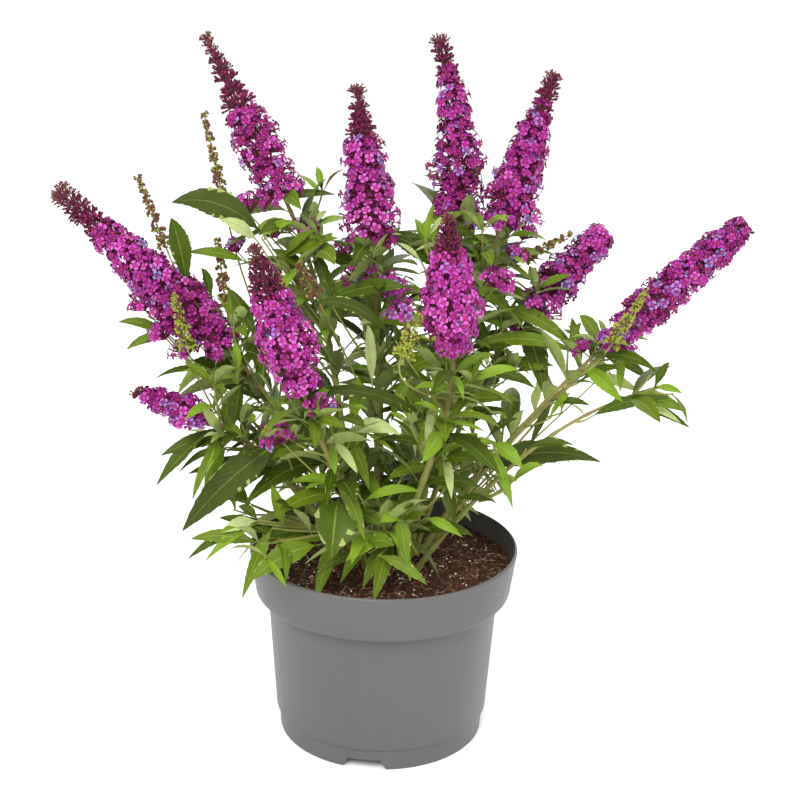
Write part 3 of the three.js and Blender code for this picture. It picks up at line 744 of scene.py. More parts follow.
LEAFY_LIMB = {"name": "right_leafy", "head": (186, -32, 305), "end": (215, -36, 318), "leaf": 54, "turn": -28}
SIDE_SHOOTS = {
    "spill_left": ("front_left", 0.22, 214, 6, 84, 72),
    "low_front": ("front_mid", 0.15, 246, 30, 40, 58),
    "low_right": ("right_leafy", 0.34, 330, 42, 34, 56),
    "inner_front": ("mid_tall", 0.22, 285, 32, 50, 74),
    "inner_left": ("left_tall", 0.22, 250, 32, 46, 74),
    "inner_right": ("right_tall", 0.22, 335, 32, 46, 74),
    "low_left": ("left_low", 0.2, 186, 26, 62, 84),
    "low_rear_left": ("rear_left", 0.16, 128, 18, 74, 84),
    "low_rear": ("rear_mid", 0.16, 82, 16, 70, 84),
    "low_rear_right": ("rear_right", 0.16, 74, 30, 56, 64),
}
SPIKES = {
    "left_tall": (0.7, (-133, 42, 432), (-150, 46, 513)),
    "left_far": (0.5, (-187, 62, 402), (-208, 66, 457)),
    "right_tall": (0.6, (112, 52, 400), (148, 62, 418)),
}
print("flowering shoots:", len(SHOOTS), "- side shoots:", len(SIDE_SHOOTS))

# %% [markdown]
# ## Leaves at known places
# The rule fills the crown, but some leaves give the plant its own shape and are set one by one. Each
# row gives the leaf's root (a share of its shoot, or a point beside it that gets a stalk), its tip,
# its look, its width over the usual one, and how far it turns its face to the front, from 0 to 1.

# %% Leaves at known places
LANDMARKS = {
    "left_far": (
        ((-160, 0, 379), (-169, 0, 436), "summer", 0.85, 0.6),
        ((-141, 0, 372), (-147, 0, 398), "summer", 1.0, 0.6),
        ((-177, -5, 343), (-215, -10, 354), "summer", 1.0, 0.6),
        ((-177, -10, 342), (-207, -20, 334), "fresh", 1.0, 0.6),
        ((-140, -12, 314), (-186, -24, 313), "summer", 0.8, 0.5),
        ((-122, -30, 295), (-127, -38, 267), "green", 1.1, 1.0),
    ),
    "left_tall": (
        ((-101, 12, 424), (-167, -5, 455), "shade", 1.25, 0.9),
        ((-105, 4, 420), (-132, -6, 438), "pale", 1.1, 0.8),
        ((-101, 4, 422), (-76, -6, 437), "fresh", 0.8, 0.7),
        (1.0, (-70, 25, 435), "summer", 1.0, 0.6),
        (0.99, (-44, 45, 449), "summer", 1.0, 0.6),
        ((-113, 15, 399), (-161, 5, 406), "summer", 0.7, 0.6),
        ((-85, 15, 402), (-41, 5, 424), "summer", 0.8, 0.7),
        ((-85, 13, 404), (-57, 5, 427), "green", 1.0, 0.8),
    ),
    "left_low": (
        (0.8, (-176, -57, 261), "summer", 1.0, 0.6),
        ((-79, -62, 273), (-156, -68, 195), "shade", 1.0, 0.95),
        ((-125, -50, 265), (-144, -58, 232), "fresh", 1.2, 1.0),
        ((-129, -48, 263), (-162, -58, 245), "summer", 0.9, 0.7),
        ((-92, -40, 250), (-158, -40, 234), "summer", 0.6, 0.6),
    ),
    "mid_left": (
        ((-47, -10, 376), (16, -37, 390), "summer", 0.78, 0.6),
        (0.99, (-30, -5, 401), "summer", 1.0, 0.6),
        ((-62, 15, 411), (-43, 0, 371), "summer", 1.1, 0.9),
        ((-11, -20, 307), (-17, -25, 360), "pale", 0.6, 0.8),
    ),
    "mid_tall": (
        ((28, 10, 418), (37, 4, 451), "pale", 0.65, 0.8),
        ((29, 10, 422), (50, 4, 446), "pale", 0.55, 0.7),
        ((32, 10, 428), (60, 2, 445), "fresh", 0.7, 0.7),
        ((26, 10, 404), (6, 0, 421), "pale", 0.65, 0.8),
        (0.34, (12, 3, 307), "fresh", 1.0, 0.6),
        ((19, -30, 319), (3, -42, 287), "green", 1.5, 1.0),
    ),
    "right_tall": (
        (0.6, (155, 1, 326), "summer", 0.7, 0.8),
        ((78, 10, 312), (121, 0, 305), "summer", 1.0, 0.8),
        ((67, -20, 296), (70, -32, 269), "green", 1.3, 1.0),
        ((82, -30, 271), (106, -32, 287), "summer", 0.8, 0.7),
        ((44, -10, 282), (109, -12, 298), "summer", 0.75, 0.7),
    ),
    "right_mid": (
        (0.96, (128, 2, 294), "summer", 1.5, 1.0),
        ((89, 30, 363), (155, 18, 330), "summer", 0.9, 0.7),
    ),
    "right_far": (
        ((73, -25, 239), (176, -20, 252), "shade", 0.72, 0.95),
        ((84, -40, 264), (104, -54, 220), "fresh", 1.1, 0.9),
        ((134, -15, 296), (116, -20, 260), "shade", 0.9, 0.9),
        ((135, -12, 295), (164, -20, 294), "summer", 0.9, 0.7),
        ((171, -6, 339), (157, -6, 369), "summer", 1.1, 0.9),
        ((154, -14, 313), (188, -20, 326), "summer", 0.85, 0.6),
        ((170, -16, 336), (210, -26, 325), "summer", 0.9, 0.7),
        ((187, -14, 336), (186, -18, 307), "green", 1.5, 1.0),
    ),
    "right_leafy": (
        ((85, -45, 271), (109, -60, 257), "fresh", 1.6, 0.9),
        ((85, -45, 273), (57, -62, 264), "fresh", 1.5, 0.9),
        ((58, -50, 226), (88, -45, 220), "summer", 0.8, 0.6),
        ((113, -36, 264), (150, -40, 271), "summer", 0.8, 0.7),
        ((162, -33, 290), (221, -36, 309), "summer", 0.7, 0.8),
        ((183, -33, 309), (241, -40, 284), "summer", 0.75, 0.8),
        (1.0, (235, -46, 304), "green", 1.0, 0.7),
        (0.99, (234, -40, 290), "pale", 0.7, 0.8),
        ((211, -37, 317), (220, -36, 339), "summer", 0.9, 0.8),
        ((211, -37, 317), (232, -44, 316), "pale", 1.2, 0.8),
    ),
    "front_mid": (
        ((7, -90, 366), (-52, -135, 402), "shade", 0.45, 0.6),
        (0.64, (-68, -92, 324), "shade", 0.42, 0.6),
        ((48, -60, 237), (56, -76, 216), "shade", 2.0, 1.0),
        ((33, -60, 212), (62, -76, 201), "green", 1.0, 0.8),
        ((-3, -85, 190), (36, -100, 175), "green", 0.95, 0.8),
        ((-11, -80, 190), (-53, -96, 175), "summer", 0.8, 0.7),
        ((13, -70, 219), (18, -95, 185), "summer", 1.5, 0.95),
        ((17, -65, 218), (-2, -82, 216), "green", 1.6, 0.8),
        ((-17, -70, 228), (27, -76, 244), "fresh", 0.75, 0.7),
        ((-12, -80, 199), (9, -92, 203), "green", 2.0, 0.9),
    ),
    "front_left": (
        ((-103, -20, 345), (-127, -20, 385), "summer", 0.9, 0.9),
        ((-35, -80, 234), (-40, -112, 199), "summer", 3.2, 1.0),
        ((-31, -80, 244), (-14, -100, 209), "green", 1.1, 0.9),
        ((-50, -85, 198), (-101, -108, 173), "summer", 1.3, 0.85),
        ((-87, -75, 207), (-107, -100, 157), "summer", 0.8, 0.8),
        ((-99, -70, 209), (-153, -85, 185), "summer", 0.7, 0.7),
        ((-99, -70, 209), (-138, -92, 185), "green", 0.75, 0.7),
        ((-100, -70, 211), (-126, -82, 207), "pale", 1.4, 0.8),
        ((-99, -70, 212), (-113, -70, 224), "summer", 1.5, 0.8),
        ((-78, -75, 206), (-86, -75, 244), "green", 0.8, 0.9),
        ((-31, -60, 281), (12, -76, 290), "pale", 0.9, 0.7),
        ((-26, -62, 277), (-12, -86, 244), "fresh", 1.1, 1.0),
        ((-16, -60, 283), (7, -70, 271), "fresh", 0.6, 0.8),
        ((-26, -56, 285), (-18, -58, 327), "fresh", 0.9, 0.9),
    ),
}
print("leaves at known places:", sum(map(len, LANDMARKS.values())))


# %% Curves and chance
def vec(values):
    return np.array(values, float)


def unit(vector):
    return vector / np.linalg.norm(vector)


def mix(start, end, share):
    return start + (end - start) * share


def pick(bounds, chance):
    return mix(bounds[0], bounds[1], chance())


def seeded(seed):
    """Numbers from 0 to 1 that are the same on every run: a linear congruential sequence."""
    state = (seed * 7919 + 104729) % 2147483647

    def draw():
        nonlocal state
        state = state * 48271 % 2147483647
        return state / 2147483647
    return draw


class Path:
    """A Bezier curve through 2, 3 or 4 control points."""

    def __init__(self, *controls):
        self.controls = [vec(c) for c in controls]

    def point(self, t):
        row = self.controls
        while len(row) > 1:
            row = [mix(a, b, t) for a, b in zip(row, row[1:])]
        return row[0]

    def tangent(self, t, step=1e-4):
        return unit(self.point(min(1, t + step)) - self.point(max(0, t - step)))

    def stretch(self, start, end, steps):
        return [self.point(mix(start, end, i / steps)) for i in range(steps + 1)]

    def length(self, steps=200):
        line = np.array(self.stretch(0, 1, steps))
        return float(np.linalg.norm(np.diff(line, axis=0), axis=1).sum())


def turned(vector, axis, degrees):
    angle = math.radians(degrees)
    across = np.cross(axis, vector)
    return (vector * math.cos(angle) + across * math.sin(angle)
            + axis * np.dot(axis, vector) * (1 - math.cos(angle)))


def level_across(direction):
    """A level direction square to the given one."""
    side = np.cross(direction, UP)
    return unit(side) if np.linalg.norm(side) >= 0.05 else vec((1, 0, 0))


def ring_direction(axis, degrees):
    """A direction square to the axis, turned round it by so many degrees."""
    side = level_across(axis)
    lift = unit(np.cross(side, axis))
    return side * math.cos(math.radians(degrees)) + lift * math.sin(math.radians(degrees))


def branch_direction(axis, turn, angle):
    """The direction that leaves the axis at an angle, turned round it."""
    around = ring_direction(axis, turn)
    return axis * math.cos(math.radians(angle)) + around * math.sin(math.radians(angle))


def shoot_path(head, tip, foot_turn=0):
    head, tip = vec(head), vec(tip)
    flat = vec((head[0], head[1], 0))
    stand = LIMB["stand_near"] + np.linalg.norm(flat) * LIMB["stand_share"]
    foot = turned(unit(flat) * np.clip(stand, *LIMB["stand"]), UP, foot_turn)
    foot[2] = SOIL_CROWN_HEIGHT + JOINT_GAP
    span = np.linalg.norm(head - foot)
    start = unit(mix(unit(head - foot), UP, LIMB["upright"]))
    finish = unit(tip - head)
    return Path(foot, foot + start * span * LIMB["foot_pull"], head - finish * span * LIMB["head_pull"], head)


def limb_radius(t):
    return mix(LIMB["foot_radius"], LIMB["head_radius"], t)


def panicle_swell(share, taper):
    """The blossom's half thickness over its girth: widest a third of the way from base (0) to tip (1)."""
    return max(0.16, min(1, 0.45 + 1.65 * share, (max(0, 1 - share) / 0.67) ** taper))


print("first draws:", [round(seeded(SEED)(), 4)])


# %% Distances that keep things apart
def segment_gaps(a, b, c, d):
    """Shortest distances between the segments a-b and c-d, for whole arrays at once."""
    u, v, w = b - a, d - c, a - c
    uu, uv, vv = (u * u).sum(-1), (u * v).sum(-1), (v * v).sum(-1)
    uw, vw = (u * w).sum(-1), (v * w).sum(-1)
    spread = uu * vv - uv * uv
    s = np.where(spread > 1e-9, np.clip((uv * vw - vv * uw) / np.where(spread > 1e-9, spread, 1), 0, 1), 0)
    t = np.clip(np.where(vv > 1e-9, (uv * s + vw) / np.where(vv > 1e-9, vv, 1), 0), 0, 1)
    s = np.where(uu > 1e-9, np.clip((uv * t - uw) / np.where(uu > 1e-9, uu, 1), 0, 1), 0)
    return np.linalg.norm(a + u * s[..., None] - c - v * t[..., None], axis=-1)


class Obstacles:
    """Lines with a least distance each, which nothing that is tried may come nearer to."""

    def __init__(self):
        self.starts, self.ends, self.least = [], [], []

    def add(self, line, radii, clearance):
        for i in range(len(line) - 1):
            self.starts.append(line[i])
            self.ends.append(line[i + 1])
            self.least.append(clearance + max(radii[i], radii[i + 1]))

    def settle(self):
        self.starts, self.ends = np.array(self.starts), np.array(self.ends)
        self.least = np.array(self.least)

    def clear(self, lines):
        """Whether all the lines, an array of lines x points x 3, keep away."""
        a, b = lines[:, :-1].reshape(-1, 1, 3), lines[:, 1:].reshape(-1, 1, 3)
        return bool((segment_gaps(a, b, self.starts, self.ends) >= self.least).all())


OBSTACLES = Obstacles()
print("hoops for the pot's band:", len(HOOPS["heights"]))


# %% Limbs and masses
def add_hoops():
    """The pot's band stands in the tests as level hoops, one above the other."""
    count = HOOPS["points"]
    angles = np.linspace(0, 2 * math.pi, count)
    for height in HOOPS["heights"]:
        radius = inner_radius(height) + POT_WALL / 2
        line = np.stack([radius * np.cos(angles), radius * np.sin(angles), np.full(count, height)], 1)
        OBSTACLES.add(line, [POT_WALL] * count, SPACE["limb"])


class Mass:
    """Foliage round one stem: where its leaves and twigs go."""

    def __init__(self, name, stem, start, leaf, tuft=False, radii=(1.5, 1.5)):
        self.name, self.stem, self.start, self.leaf, self.tuft = name, stem, start, leaf, tuft
        self.spine = stem.stretch(start, 1, MASS["steps"])
        self.radii = radii
        self.blades, self.twigs, self.axils = [], [], []


MASSES = []
LIMBS = {}


def mass_of(name):
    return next(mass for mass in MASSES if mass.name == name)


def add_limb(name, path, share):
    line = path.stretch(0, share, LIMB["steps"])
    OBSTACLES.add(line, [limb_radius(share * i / LIMB["steps"]) for i in range(len(line))], SPACE["limb"])
    LIMBS[name] = path


def add_flowering_shoot(name, head, tip, girth, leaf, taper):
    path = shoot_path(head, tip)
    add_limb(name, path, LIMB["share"])
    start = LIMB["share"] + JOINT_GAP / path.length()
    MASSES.append(Mass(name, path, start, leaf))
    line = Path(head, tip).stretch(0, 1, PANICLE_STEPS)
    radii = [girth / 2 * panicle_swell(i / PANICLE_STEPS, taper) for i in range(len(line))]
    line[0] = mix(line[0], line[1], 0.5)
    radii[0] = LIMB["head_radius"] * 2
    OBSTACLES.add(line, radii, SPACE["panicle"])


def add_leafy_limb(name, head, end, leaf, turn):
    add_limb(name, shoot_path(head, end, turn), 1)
    axis = unit(vec(end) - vec(head))
    MASSES.append(Mass(name, Path(vec(head) + axis * JOINT_GAP, end), 0, leaf, True))


def add_side_shoot(name, limb, at, azimuth, rise, length, leaf):
    path = LIMBS[limb]
    tangent = path.tangent(at)
    level = turned(vec((1, 0, 0)), UP, azimuth)
    facing = unit(level - tangent * np.dot(level, tangent))
    root = path.point(at) + facing * (limb_radius(at) + JOINT_GAP)
    heading = level * math.cos(math.radians(rise)) + UP * math.sin(math.radians(rise))
    knee = root + unit(mix(facing, heading, SIDE["aim"])) * length * SIDE["knee"]
    stem = Path(root, knee, knee + heading * length * SIDE["rest"])
    MASSES.append(Mass(name, stem, 0, leaf, True, (MASS["side_radius"], MASS["tip_radius"])))


def add_spike(name, at, base, tip):
    mass = mass_of(name)
    root = mass.stem.point(mix(mass.start, 1, at))
    OBSTACLES.add([mix(root, vec(base), 0.1), vec(base), vec(tip)],
                  [TWIG["radius"], TWIG["radius"], SPACE["spike"]], SPACE["panicle"])


add_hoops()
for shoot_name, row in SHOOTS.items():
    add_flowering_shoot(shoot_name, *row)
add_leafy_limb(**LEAFY_LIMB)
for shoot_name, row in SIDE_SHOOTS.items():
    add_side_shoot(shoot_name, *row)
for shoot_name, row in SPIKES.items():
    add_spike(shoot_name, *row)
OBSTACLES.settle()
SPINE_STARTS = np.array([mass.spine[:-1] for mass in MASSES])
SPINE_ENDS = np.array([mass.spine[1:] for mass in MASSES])
print("masses:", len(MASSES), "- lines to keep clear of:", len(OBSTACLES.least))


# %% Leaves and where they fit
class Blade:
    """One leaf as the rule sees it: a root, a direction, a length and how far it sags."""

    def __init__(self, root, direction, length, droop, roll, look="summer", wide=1.0):
        self.root, self.direction, self.length, self.droop = root, direction, length, droop
        self.look, self.wide = look, wide
        self.width = length * LEAF["width_share"]
        self.across = turned(level_across(direction), direction, roll)

    def middle(self, share):
        return self.root + self.direction * self.length * share - UP * self.droop * self.length * share ** 2

    def half_width(self, share):
        widest = LEAF["widest"]
        fill = share / widest if share < widest else (1 - share) / (1 - widest)
        return max(LEAF["edge"], self.width / 2 * fill ** LEAF["roundness"])

    def lines(self):
        shares = (0.1, 0.3, 0.5, 0.75, 1)
        return np.array([[self.middle(s) + self.across * side * self.half_width(s) for s in shares]
                         for side in (-1, -0.5, 0, 0.5, 1)])


def spine_gaps(points):
    """For each point, its distance to each mass's spine."""
    flat = points.reshape(-1, 1, 1, 3)
    return segment_gaps(flat, flat, SPINE_STARTS, SPINE_ENDS).min(-1)


def fits(lines, mass, own_space=True):
    """Inside the crown and clear of limbs, rim and blossom. In its own space: nearest to its mass."""
    points = lines.reshape(-1, 3)
    if (points[:, 2] < SOIL_CROWN_HEIGHT + SPACE["limb"]).any():
        return False
    gaps = spine_gaps(points)
    own = gaps[:, MASSES.index(mass)]
    if own_space:
        others = np.delete(gaps, MASSES.index(mass), axis=1).min(1)
        if (own > SPACE["reach"]).any() or (others <= own + SPACE["margin"]).any():
            return False
    elif (gaps.min(1) > SPACE["reach"]).any():
        return False
    return OBSTACLES.clear(lines)


def clear_of_own(midrib, mass, least):
    if not mass.blades:
        return True
    ribs = np.array([blade.rib for blade in mass.blades])
    a, b = midrib[:-1].reshape(1, -1, 1, 3), midrib[1:].reshape(1, -1, 1, 3)
    return bool((segment_gaps(a, b, ribs[:, None, :-1], ribs[:, None, 1:]) >= least).all())


def grow_leaf(mass, root, axis, turn, angle, length, chance, look, own_space=True, least=SPACE["leaf"]):
    """Tries a leaf, then shorter ones turned a little further round, and skips it if none fits."""
    droop = pick(LEAF["droop"], chance)
    roll = pick(LEAF["roll"], chance)
    for attempt in range(TRY["count"]):
        direction = branch_direction(axis, turn + attempt * TRY["turn"], angle - attempt * TRY["angle"])
        blade = Blade(root, direction, length * (1 - attempt * TRY["shorter"]), droop, roll, look)
        lines = blade.lines()
        if fits(lines, mass, own_space) and clear_of_own(lines[2][1:], mass, least):
            blade.rib = lines[2][1:]
            mass.blades.append(blade)
            return True
    return False


print("tries for each leaf:", TRY["count"])


# %% Leaves and twigs along a stem
def grow_twig(mass, root, axis, turn, angle, length, leaf, chance):
    heading = branch_direction(axis, turn, angle)
    bend = unit(mix(heading, UP, TWIG["rise"]))
    knee = root + heading * length / 2
    end = knee + bend * length / 2
    if not fits(np.array([[knee, end]]), mass):
        return
    mass.twigs.append((root, knee, end))
    pairs = max(1, math.floor(length / TWIG["leaf_pitch"] + 0.5))
    for pair in range(pairs):
        share = (pair + 0.9) / pairs
        spot = mix(root, knee, share * 2) if share < 0.5 else mix(knee, end, share * 2 - 1)
        for half in (0, 180):
            size = leaf * mix(*TWIG["leaf_fade"], share) * pick(TWIG["leaf_uneven"], chance)
            lean = pick(LEAF["twig_angle"], chance)
            grow_leaf(mass, spot, bend, turn + pair * 90 + half, lean, size, chance, "fresh")


def grow_mass(mass, seed):
    """Leaves in opposite pairs along the stem, with a twig out of one axil of each pair."""
    chance = seeded(seed)
    length = mass.stem.length() * (1 - mass.start)
    pairs = max(2, math.floor(length / INTERNODE + 0.5))
    for pair in range(pairs):
        share = (pair + 0.45) / pairs
        t = mix(mass.start, 1, share)
        root, axis = mass.stem.point(t), mass.stem.tangent(t)
        turn = pair * 90 + pick(LEAF["swing"], chance)
        for half in (0, 180):
            size = mass.leaf * mix(*LEAF["fade"], share) * pick(LEAF["uneven"], chance)
            lean = pick(LEAF["angle"], chance)
            grow_leaf(mass, root, axis, turn + half, lean, size, chance, "summer")
        side = TWIG["from_leaf"] + 180 * (pair % 2)
        reach = mass.leaf * mix(*TWIG["fade"], share) * pick(TWIG["uneven"], chance)
        lean = pick(TWIG["angle"], chance)
        grow_twig(mass, root, axis, turn + side, lean, reach, mass.leaf * TWIG["leaf"], chance)
        mass.axils.append((t, root, axis, turn))
    if mass.tuft:
        for turn in MASS["tuft_turns"]:
            grow_leaf(mass, mass.spine[-1], mass.stem.tangent(1), turn, MASS["tuft_angle"],
                      mass.leaf * MASS["tuft_leaf"], chance, "fresh")


for number, mass in enumerate(MASSES):
    grow_mass(mass, SEED * 100 + number)
print("leaves by the rule:", sum(len(mass.blades) for mass in MASSES),
      "- twigs:", sum(len(mass.twigs) for mass in MASSES))

# %% [markdown]
# ## Finer growth
# The solids hold only the large leaves, because a solid can't afford more. Here the same rule goes
# on: the bare limbs keep a few older leaves, short shoots of young leaves stand in the axils, and
# every twig ends in a tuft. These may mingle with a neighbour's, but stay within the crown's reach
# and clear of limbs, rim and blossom.

# %% Sizes of the finer growth
FINER = {"shoot": (10, 24), "shoot_angle": (34, 56), "leaf": (26, 54), "least": 2.0, "rise": 0.25,
         "tufts": ((30, 48, 34, 54), (13, 24, 10, 24)),
         "plain": ("right_leafy", "low_right", "spill_left", "right_far", "rear_right",
                   "low_left", "low_rear_left"),
         "sparse": ("right_mid", "inner_right", "rear_mid")}
LIMB_LEAF = {"from": 0.15, "pitch": 26, "size": (46, 80), "angle": (42, 74),
             "bare": ("right_mid", "right_far", "right_leafy", "rear_right")}
FILL = {"size": (46, 76), "angle": (44, 78)}
LANDMARK = {"droop": 0.22, "view": (0, 0.95, -0.31), "shifts": (0, -12, 12, -24, 24, -36, 36), "slope": 0.7}
BRACT = {"at": (0.9, 0.97), "size": (26, 48), "angle": (58, 96)}
TWIGLETS = []
STALKED = set()
print("sizes of young leaves:", FINER["leaf"])

# %% [markdown]
# ## The crown's gaps
# A crown as young as this one is open towards its edge. The leaves named here, by their number in
# their mass, grew across such a gap and are taken off again, with the twigs left bare by that.

# %% Open places
OPEN = {
    "left_tall": (21, 24, 25), "right_far": (3, 4, 6, 7, 8), "rear_right": (2, 3, 4, 5, 7, 8, 11),
    "low_right": (1, 4, 5, 6, 7, 10, 11), "low_left": (2, 3, 7, 10, 11), "spill_left": (13, 14),
    "right_leafy": (2, 3, 4, 5, 7, 8, 9, 10, 11), "low_rear_left": (0, 2, 10), "back_left": (21,),
    "mid_left": (14,), "right_tall": (18,),
}


def open_up(mass):
    closed = OPEN.get(mass.name, ())
    mass.blades = [blade for number, blade in enumerate(mass.blades) if number not in closed]
    roots = np.array([blade.root for blade in mass.blades])

    def carries(twig):
        return any(segment_gaps(roots, roots, a, b).min() < 1 for a, b in zip(twig, twig[1:]))
    if closed:
        mass.twigs = [twig for twig in mass.twigs if carries(twig[1:]) or carries(twig[:2])]


print("leaves taken off:", sum(map(len, OPEN.values())))


# %% Growing finer
def grow_fine_leaf(mass, root, axis, turn, lean, size, chance, look):
    """A leaf that may mingle with a neighbour's."""
    return grow_leaf(mass, root, axis, turn, lean, size, chance, look, False, FINER["least"])


def grow_young_shoot(mass, root, axis, turn, chance, scale=1.0):
    heading = branch_direction(axis, turn, pick(FINER["shoot_angle"], chance))
    end = root + unit(mix(heading, UP, FINER["rise"])) * pick(FINER["shoot"], chance) * scale
    if not fits(np.array([[root + heading * 3, end]]), mass, own_space=False):
        return
    grown = 0
    for spot, size_share in ((mix(root, end, 0.6), 1.0), (end, 0.72)):
        for half in (0, 180):
            size = pick(FINER["leaf"], chance) * size_share * scale
            lean = pick(LEAF["twig_angle"], chance)
            look = "fresh" if size_share == 1 else "pale"
            side = turn + half + 90 * size_share
            grown += grow_fine_leaf(mass, spot, heading, side, lean, size, chance, look)
    if grown:
        TWIGLETS.append((root, mix(root, end, 0.55), end))


def grow_tuft(mass, end, axis, chance):
    for number, (least, most, low, high) in enumerate(FINER["tufts"]):
        for half in (15, 195):
            lean = pick((low, high), chance)
            size = pick((least, most), chance)
            look = "pale" if number else "fresh"
            grow_fine_leaf(mass, end, axis, half + 90 * number, lean, size, chance, look)


def grow_finer(mass, seed):
    chance = seeded(seed)
    sparse = mass.name in FINER["sparse"]
    for t, root, axis, turn in () if mass.name in FINER["plain"] else mass.axils:
        for half in (90,) if sparse else (90, 270):
            grow_young_shoot(mass, root, axis, turn + half, chance)
        for half in () if sparse else (45, 225):
            spot = root + axis * INTERNODE * 0.45
            lean = pick(FILL["angle"], chance)
            size = pick(FILL["size"], chance)
            grow_fine_leaf(mass, spot, axis, turn + half, lean, size, chance, "summer")
    for root, knee, end in () if mass.name in FINER["plain"] else mass.grown_twigs:
        grow_tuft(mass, end, unit(end - knee), chance)


def grow_limb_leaves(name, path, share, seed):
    """Older leaves low on the limbs, where the crown is thickest, each pair with a young shoot."""
    chance = seeded(seed)
    mass = mass_of(name)
    length = path.length()
    t, turn = LIMB_LEAF["from"], chance() * 360
    while t < share:
        root, axis = path.point(t), path.tangent(t)
        for half in (0, 180):
            size = pick(LIMB_LEAF["size"], chance)
            lean = pick(LIMB_LEAF["angle"], chance)
            spot = root + branch_direction(axis, turn + half, 90) * limb_radius(t)
            grow_fine_leaf(mass, spot, axis, turn + half, lean, size, chance, "summer")
        grow_young_shoot(mass, root, axis, turn + 90, chance, 1.3)
        turn += 90
        t += LIMB_LEAF["pitch"] / length


def grow_bracts(mass, seed):
    """Narrow leaves that stand and hang just under the blossom."""
    chance = seeded(seed)
    for t in BRACT["at"]:
        turn = chance() * 360
        for half in (0, 120, 240):
            lean = pick(BRACT["angle"], chance)
            size = pick(BRACT["size"], chance)
            root, axis = mass.stem.point(t), mass.stem.tangent(t)
            grow_fine_leaf(mass, root, axis, turn + half, lean, size, chance, "fresh")


print("fine leaves keep apart by (mm):", FINER["least"])


# %% Growing leaves at known places
def axil_below(shoot, target, slope):
    """The point of a shoot's path from which a stalk rises steeply to the target."""
    path = LIMBS[shoot]

    def misfit(t):
        way = target - path.point(t)
        return abs(math.hypot(way[0], way[1]) - slope * way[2]) + (99 if way[2] < 4 else 0)
    return path.point(min(np.linspace(0.2, 0.99, 80), key=misfit))


def leaf_to(root, tip, droop):
    """The direction and length of a leaf that sags by the given share and ends at the tip."""
    way = tip - root
    sag, stretch = droop * way[2], 1 - droop ** 2
    reach = (sag + math.sqrt(sag ** 2 + stretch * (way @ way))) / stretch
    return unit(way + UP * droop * reach), reach


def grow_landmark(shoot, place, tip, look, wide, face):
    """One particular leaf, from a place on its shoot or beside it. face: 0 lies level, 1 is seen in full."""
    mass = mass_of(shoot)
    on_shoot = isinstance(place, float)
    start = LIMBS[shoot].point(place) if on_shoot else vec(place)
    droop = LANDMARK["droop"]
    for shift in LANDMARK["shifts"]:
        way, length = leaf_to(start, vec(tip) + vec((0, shift, -0.32 * shift)), droop)
        blade = Blade(start, way, length, droop, 0, look, wide)
        shown = unit(np.cross(vec(LANDMARK["view"]), way))
        blade.across = unit(mix(blade.across, shown, face))
        lines = blade.lines()
        if OBSTACLES.clear(lines[:, 1:]):
            blade.rib = lines[2][1:]
            mass.blades.append(blade)
            if not on_shoot and (shoot, place) not in STALKED:
                axil = axil_below(shoot, start, LANDMARK["slope"])
                mass.twigs.append((axil, mix(axil, start, 0.5) - UP * 3, start))
                STALKED.add((shoot, place))
            return
    print("no room for a leaf on", shoot, "at", tip)


for mass in MASSES:
    open_up(mass)
    mass.grown_twigs = list(mass.twigs)
print("leaves left by the rule:", sum(len(mass.blades) for mass in MASSES))

# %% The order of the finer growth
for shoot_name, rows in LANDMARKS.items():
    for row in rows:
        grow_landmark(shoot_name, *row)
for number, mass in enumerate(MASSES):
    grow_finer(mass, SEED * 1000 + number)
    if mass.name in SHOOTS:
        grow_bracts(mass, SEED * 6000 + number)
for number, (name, path) in enumerate(LIMBS.items()):
    if name not in LIMB_LEAF["bare"]:
        grow_limb_leaves(name, path, LIMB["share"], SEED * 2000 + number)
print("leaves in all:", sum(len(mass.blades) for mass in MASSES), "- young shoots:", len(TWIGLETS))

# %% [markdown]
# ## Leaves
# A leaf of this shrub is long and narrow, finely toothed, folded a little along its midrib, dark
# above and pale below. A flat picture of a leaf would look thin from the side, so each one is a
# real blade: an upper and a lower sheet of a few dozen faces that share a toothed edge. All of them
# are worked out at once as arrays, because every blade bends, folds and twists its own way, which
# copies of one form couldn't do. Colours are dealt out leaf by leaf from a few plain greens.

# %% Leaf finishes
def leaf_finish(name, colour, vein, roughness, relief):
    """Green tissue with a paler midrib and side veins that follow the blade's own coordinates."""
    finish = Finish(name, {"Roughness": roughness, "Specular IOR Level": 0.16})
    uv = finish.node("ShaderNodeUVMap", {"uv_map": "blade"})
    parts = finish.node("ShaderNodeSeparateXYZ", {}, [uv])
    across, along = parts, Wire(finish, parts.socket.node.outputs["Y"])
    from_rib = finish.node("ShaderNodeMath", {"operation": "ABSOLUTE"}, [across - 0.5])
    rib = 1 - finish.ramp(from_rib, 0.015, 0.05)
    wave = finish.node("ShaderNodeMath", {"operation": "FRACT"}, [along * 13 - from_rib * 5])
    off_vein = finish.node("ShaderNodeMath", {"operation": "ABSOLUTE"}, [wave - 0.5])
    veins = 1 - finish.ramp(off_vein, 0.02, 0.16)
    mottle = finish.noise(120, 3)
    base = np.array(paint(colour)[:3])
    shade = finish.blend(mottle, (*base * 0.72, 1), (*base * 1.28, 1))
    marks = finish.node("ShaderNodeMath", {"operation": "MAXIMUM"}, [rib * 0.8, veins * 0.22])
    finish.feed("Base Color", finish.blend(marks, shade, paint(vein)))
    finish.relief(veins * relief + rib * relief * 2 + mottle * 0.4, 0.0005, 0.7)
    return finish.material


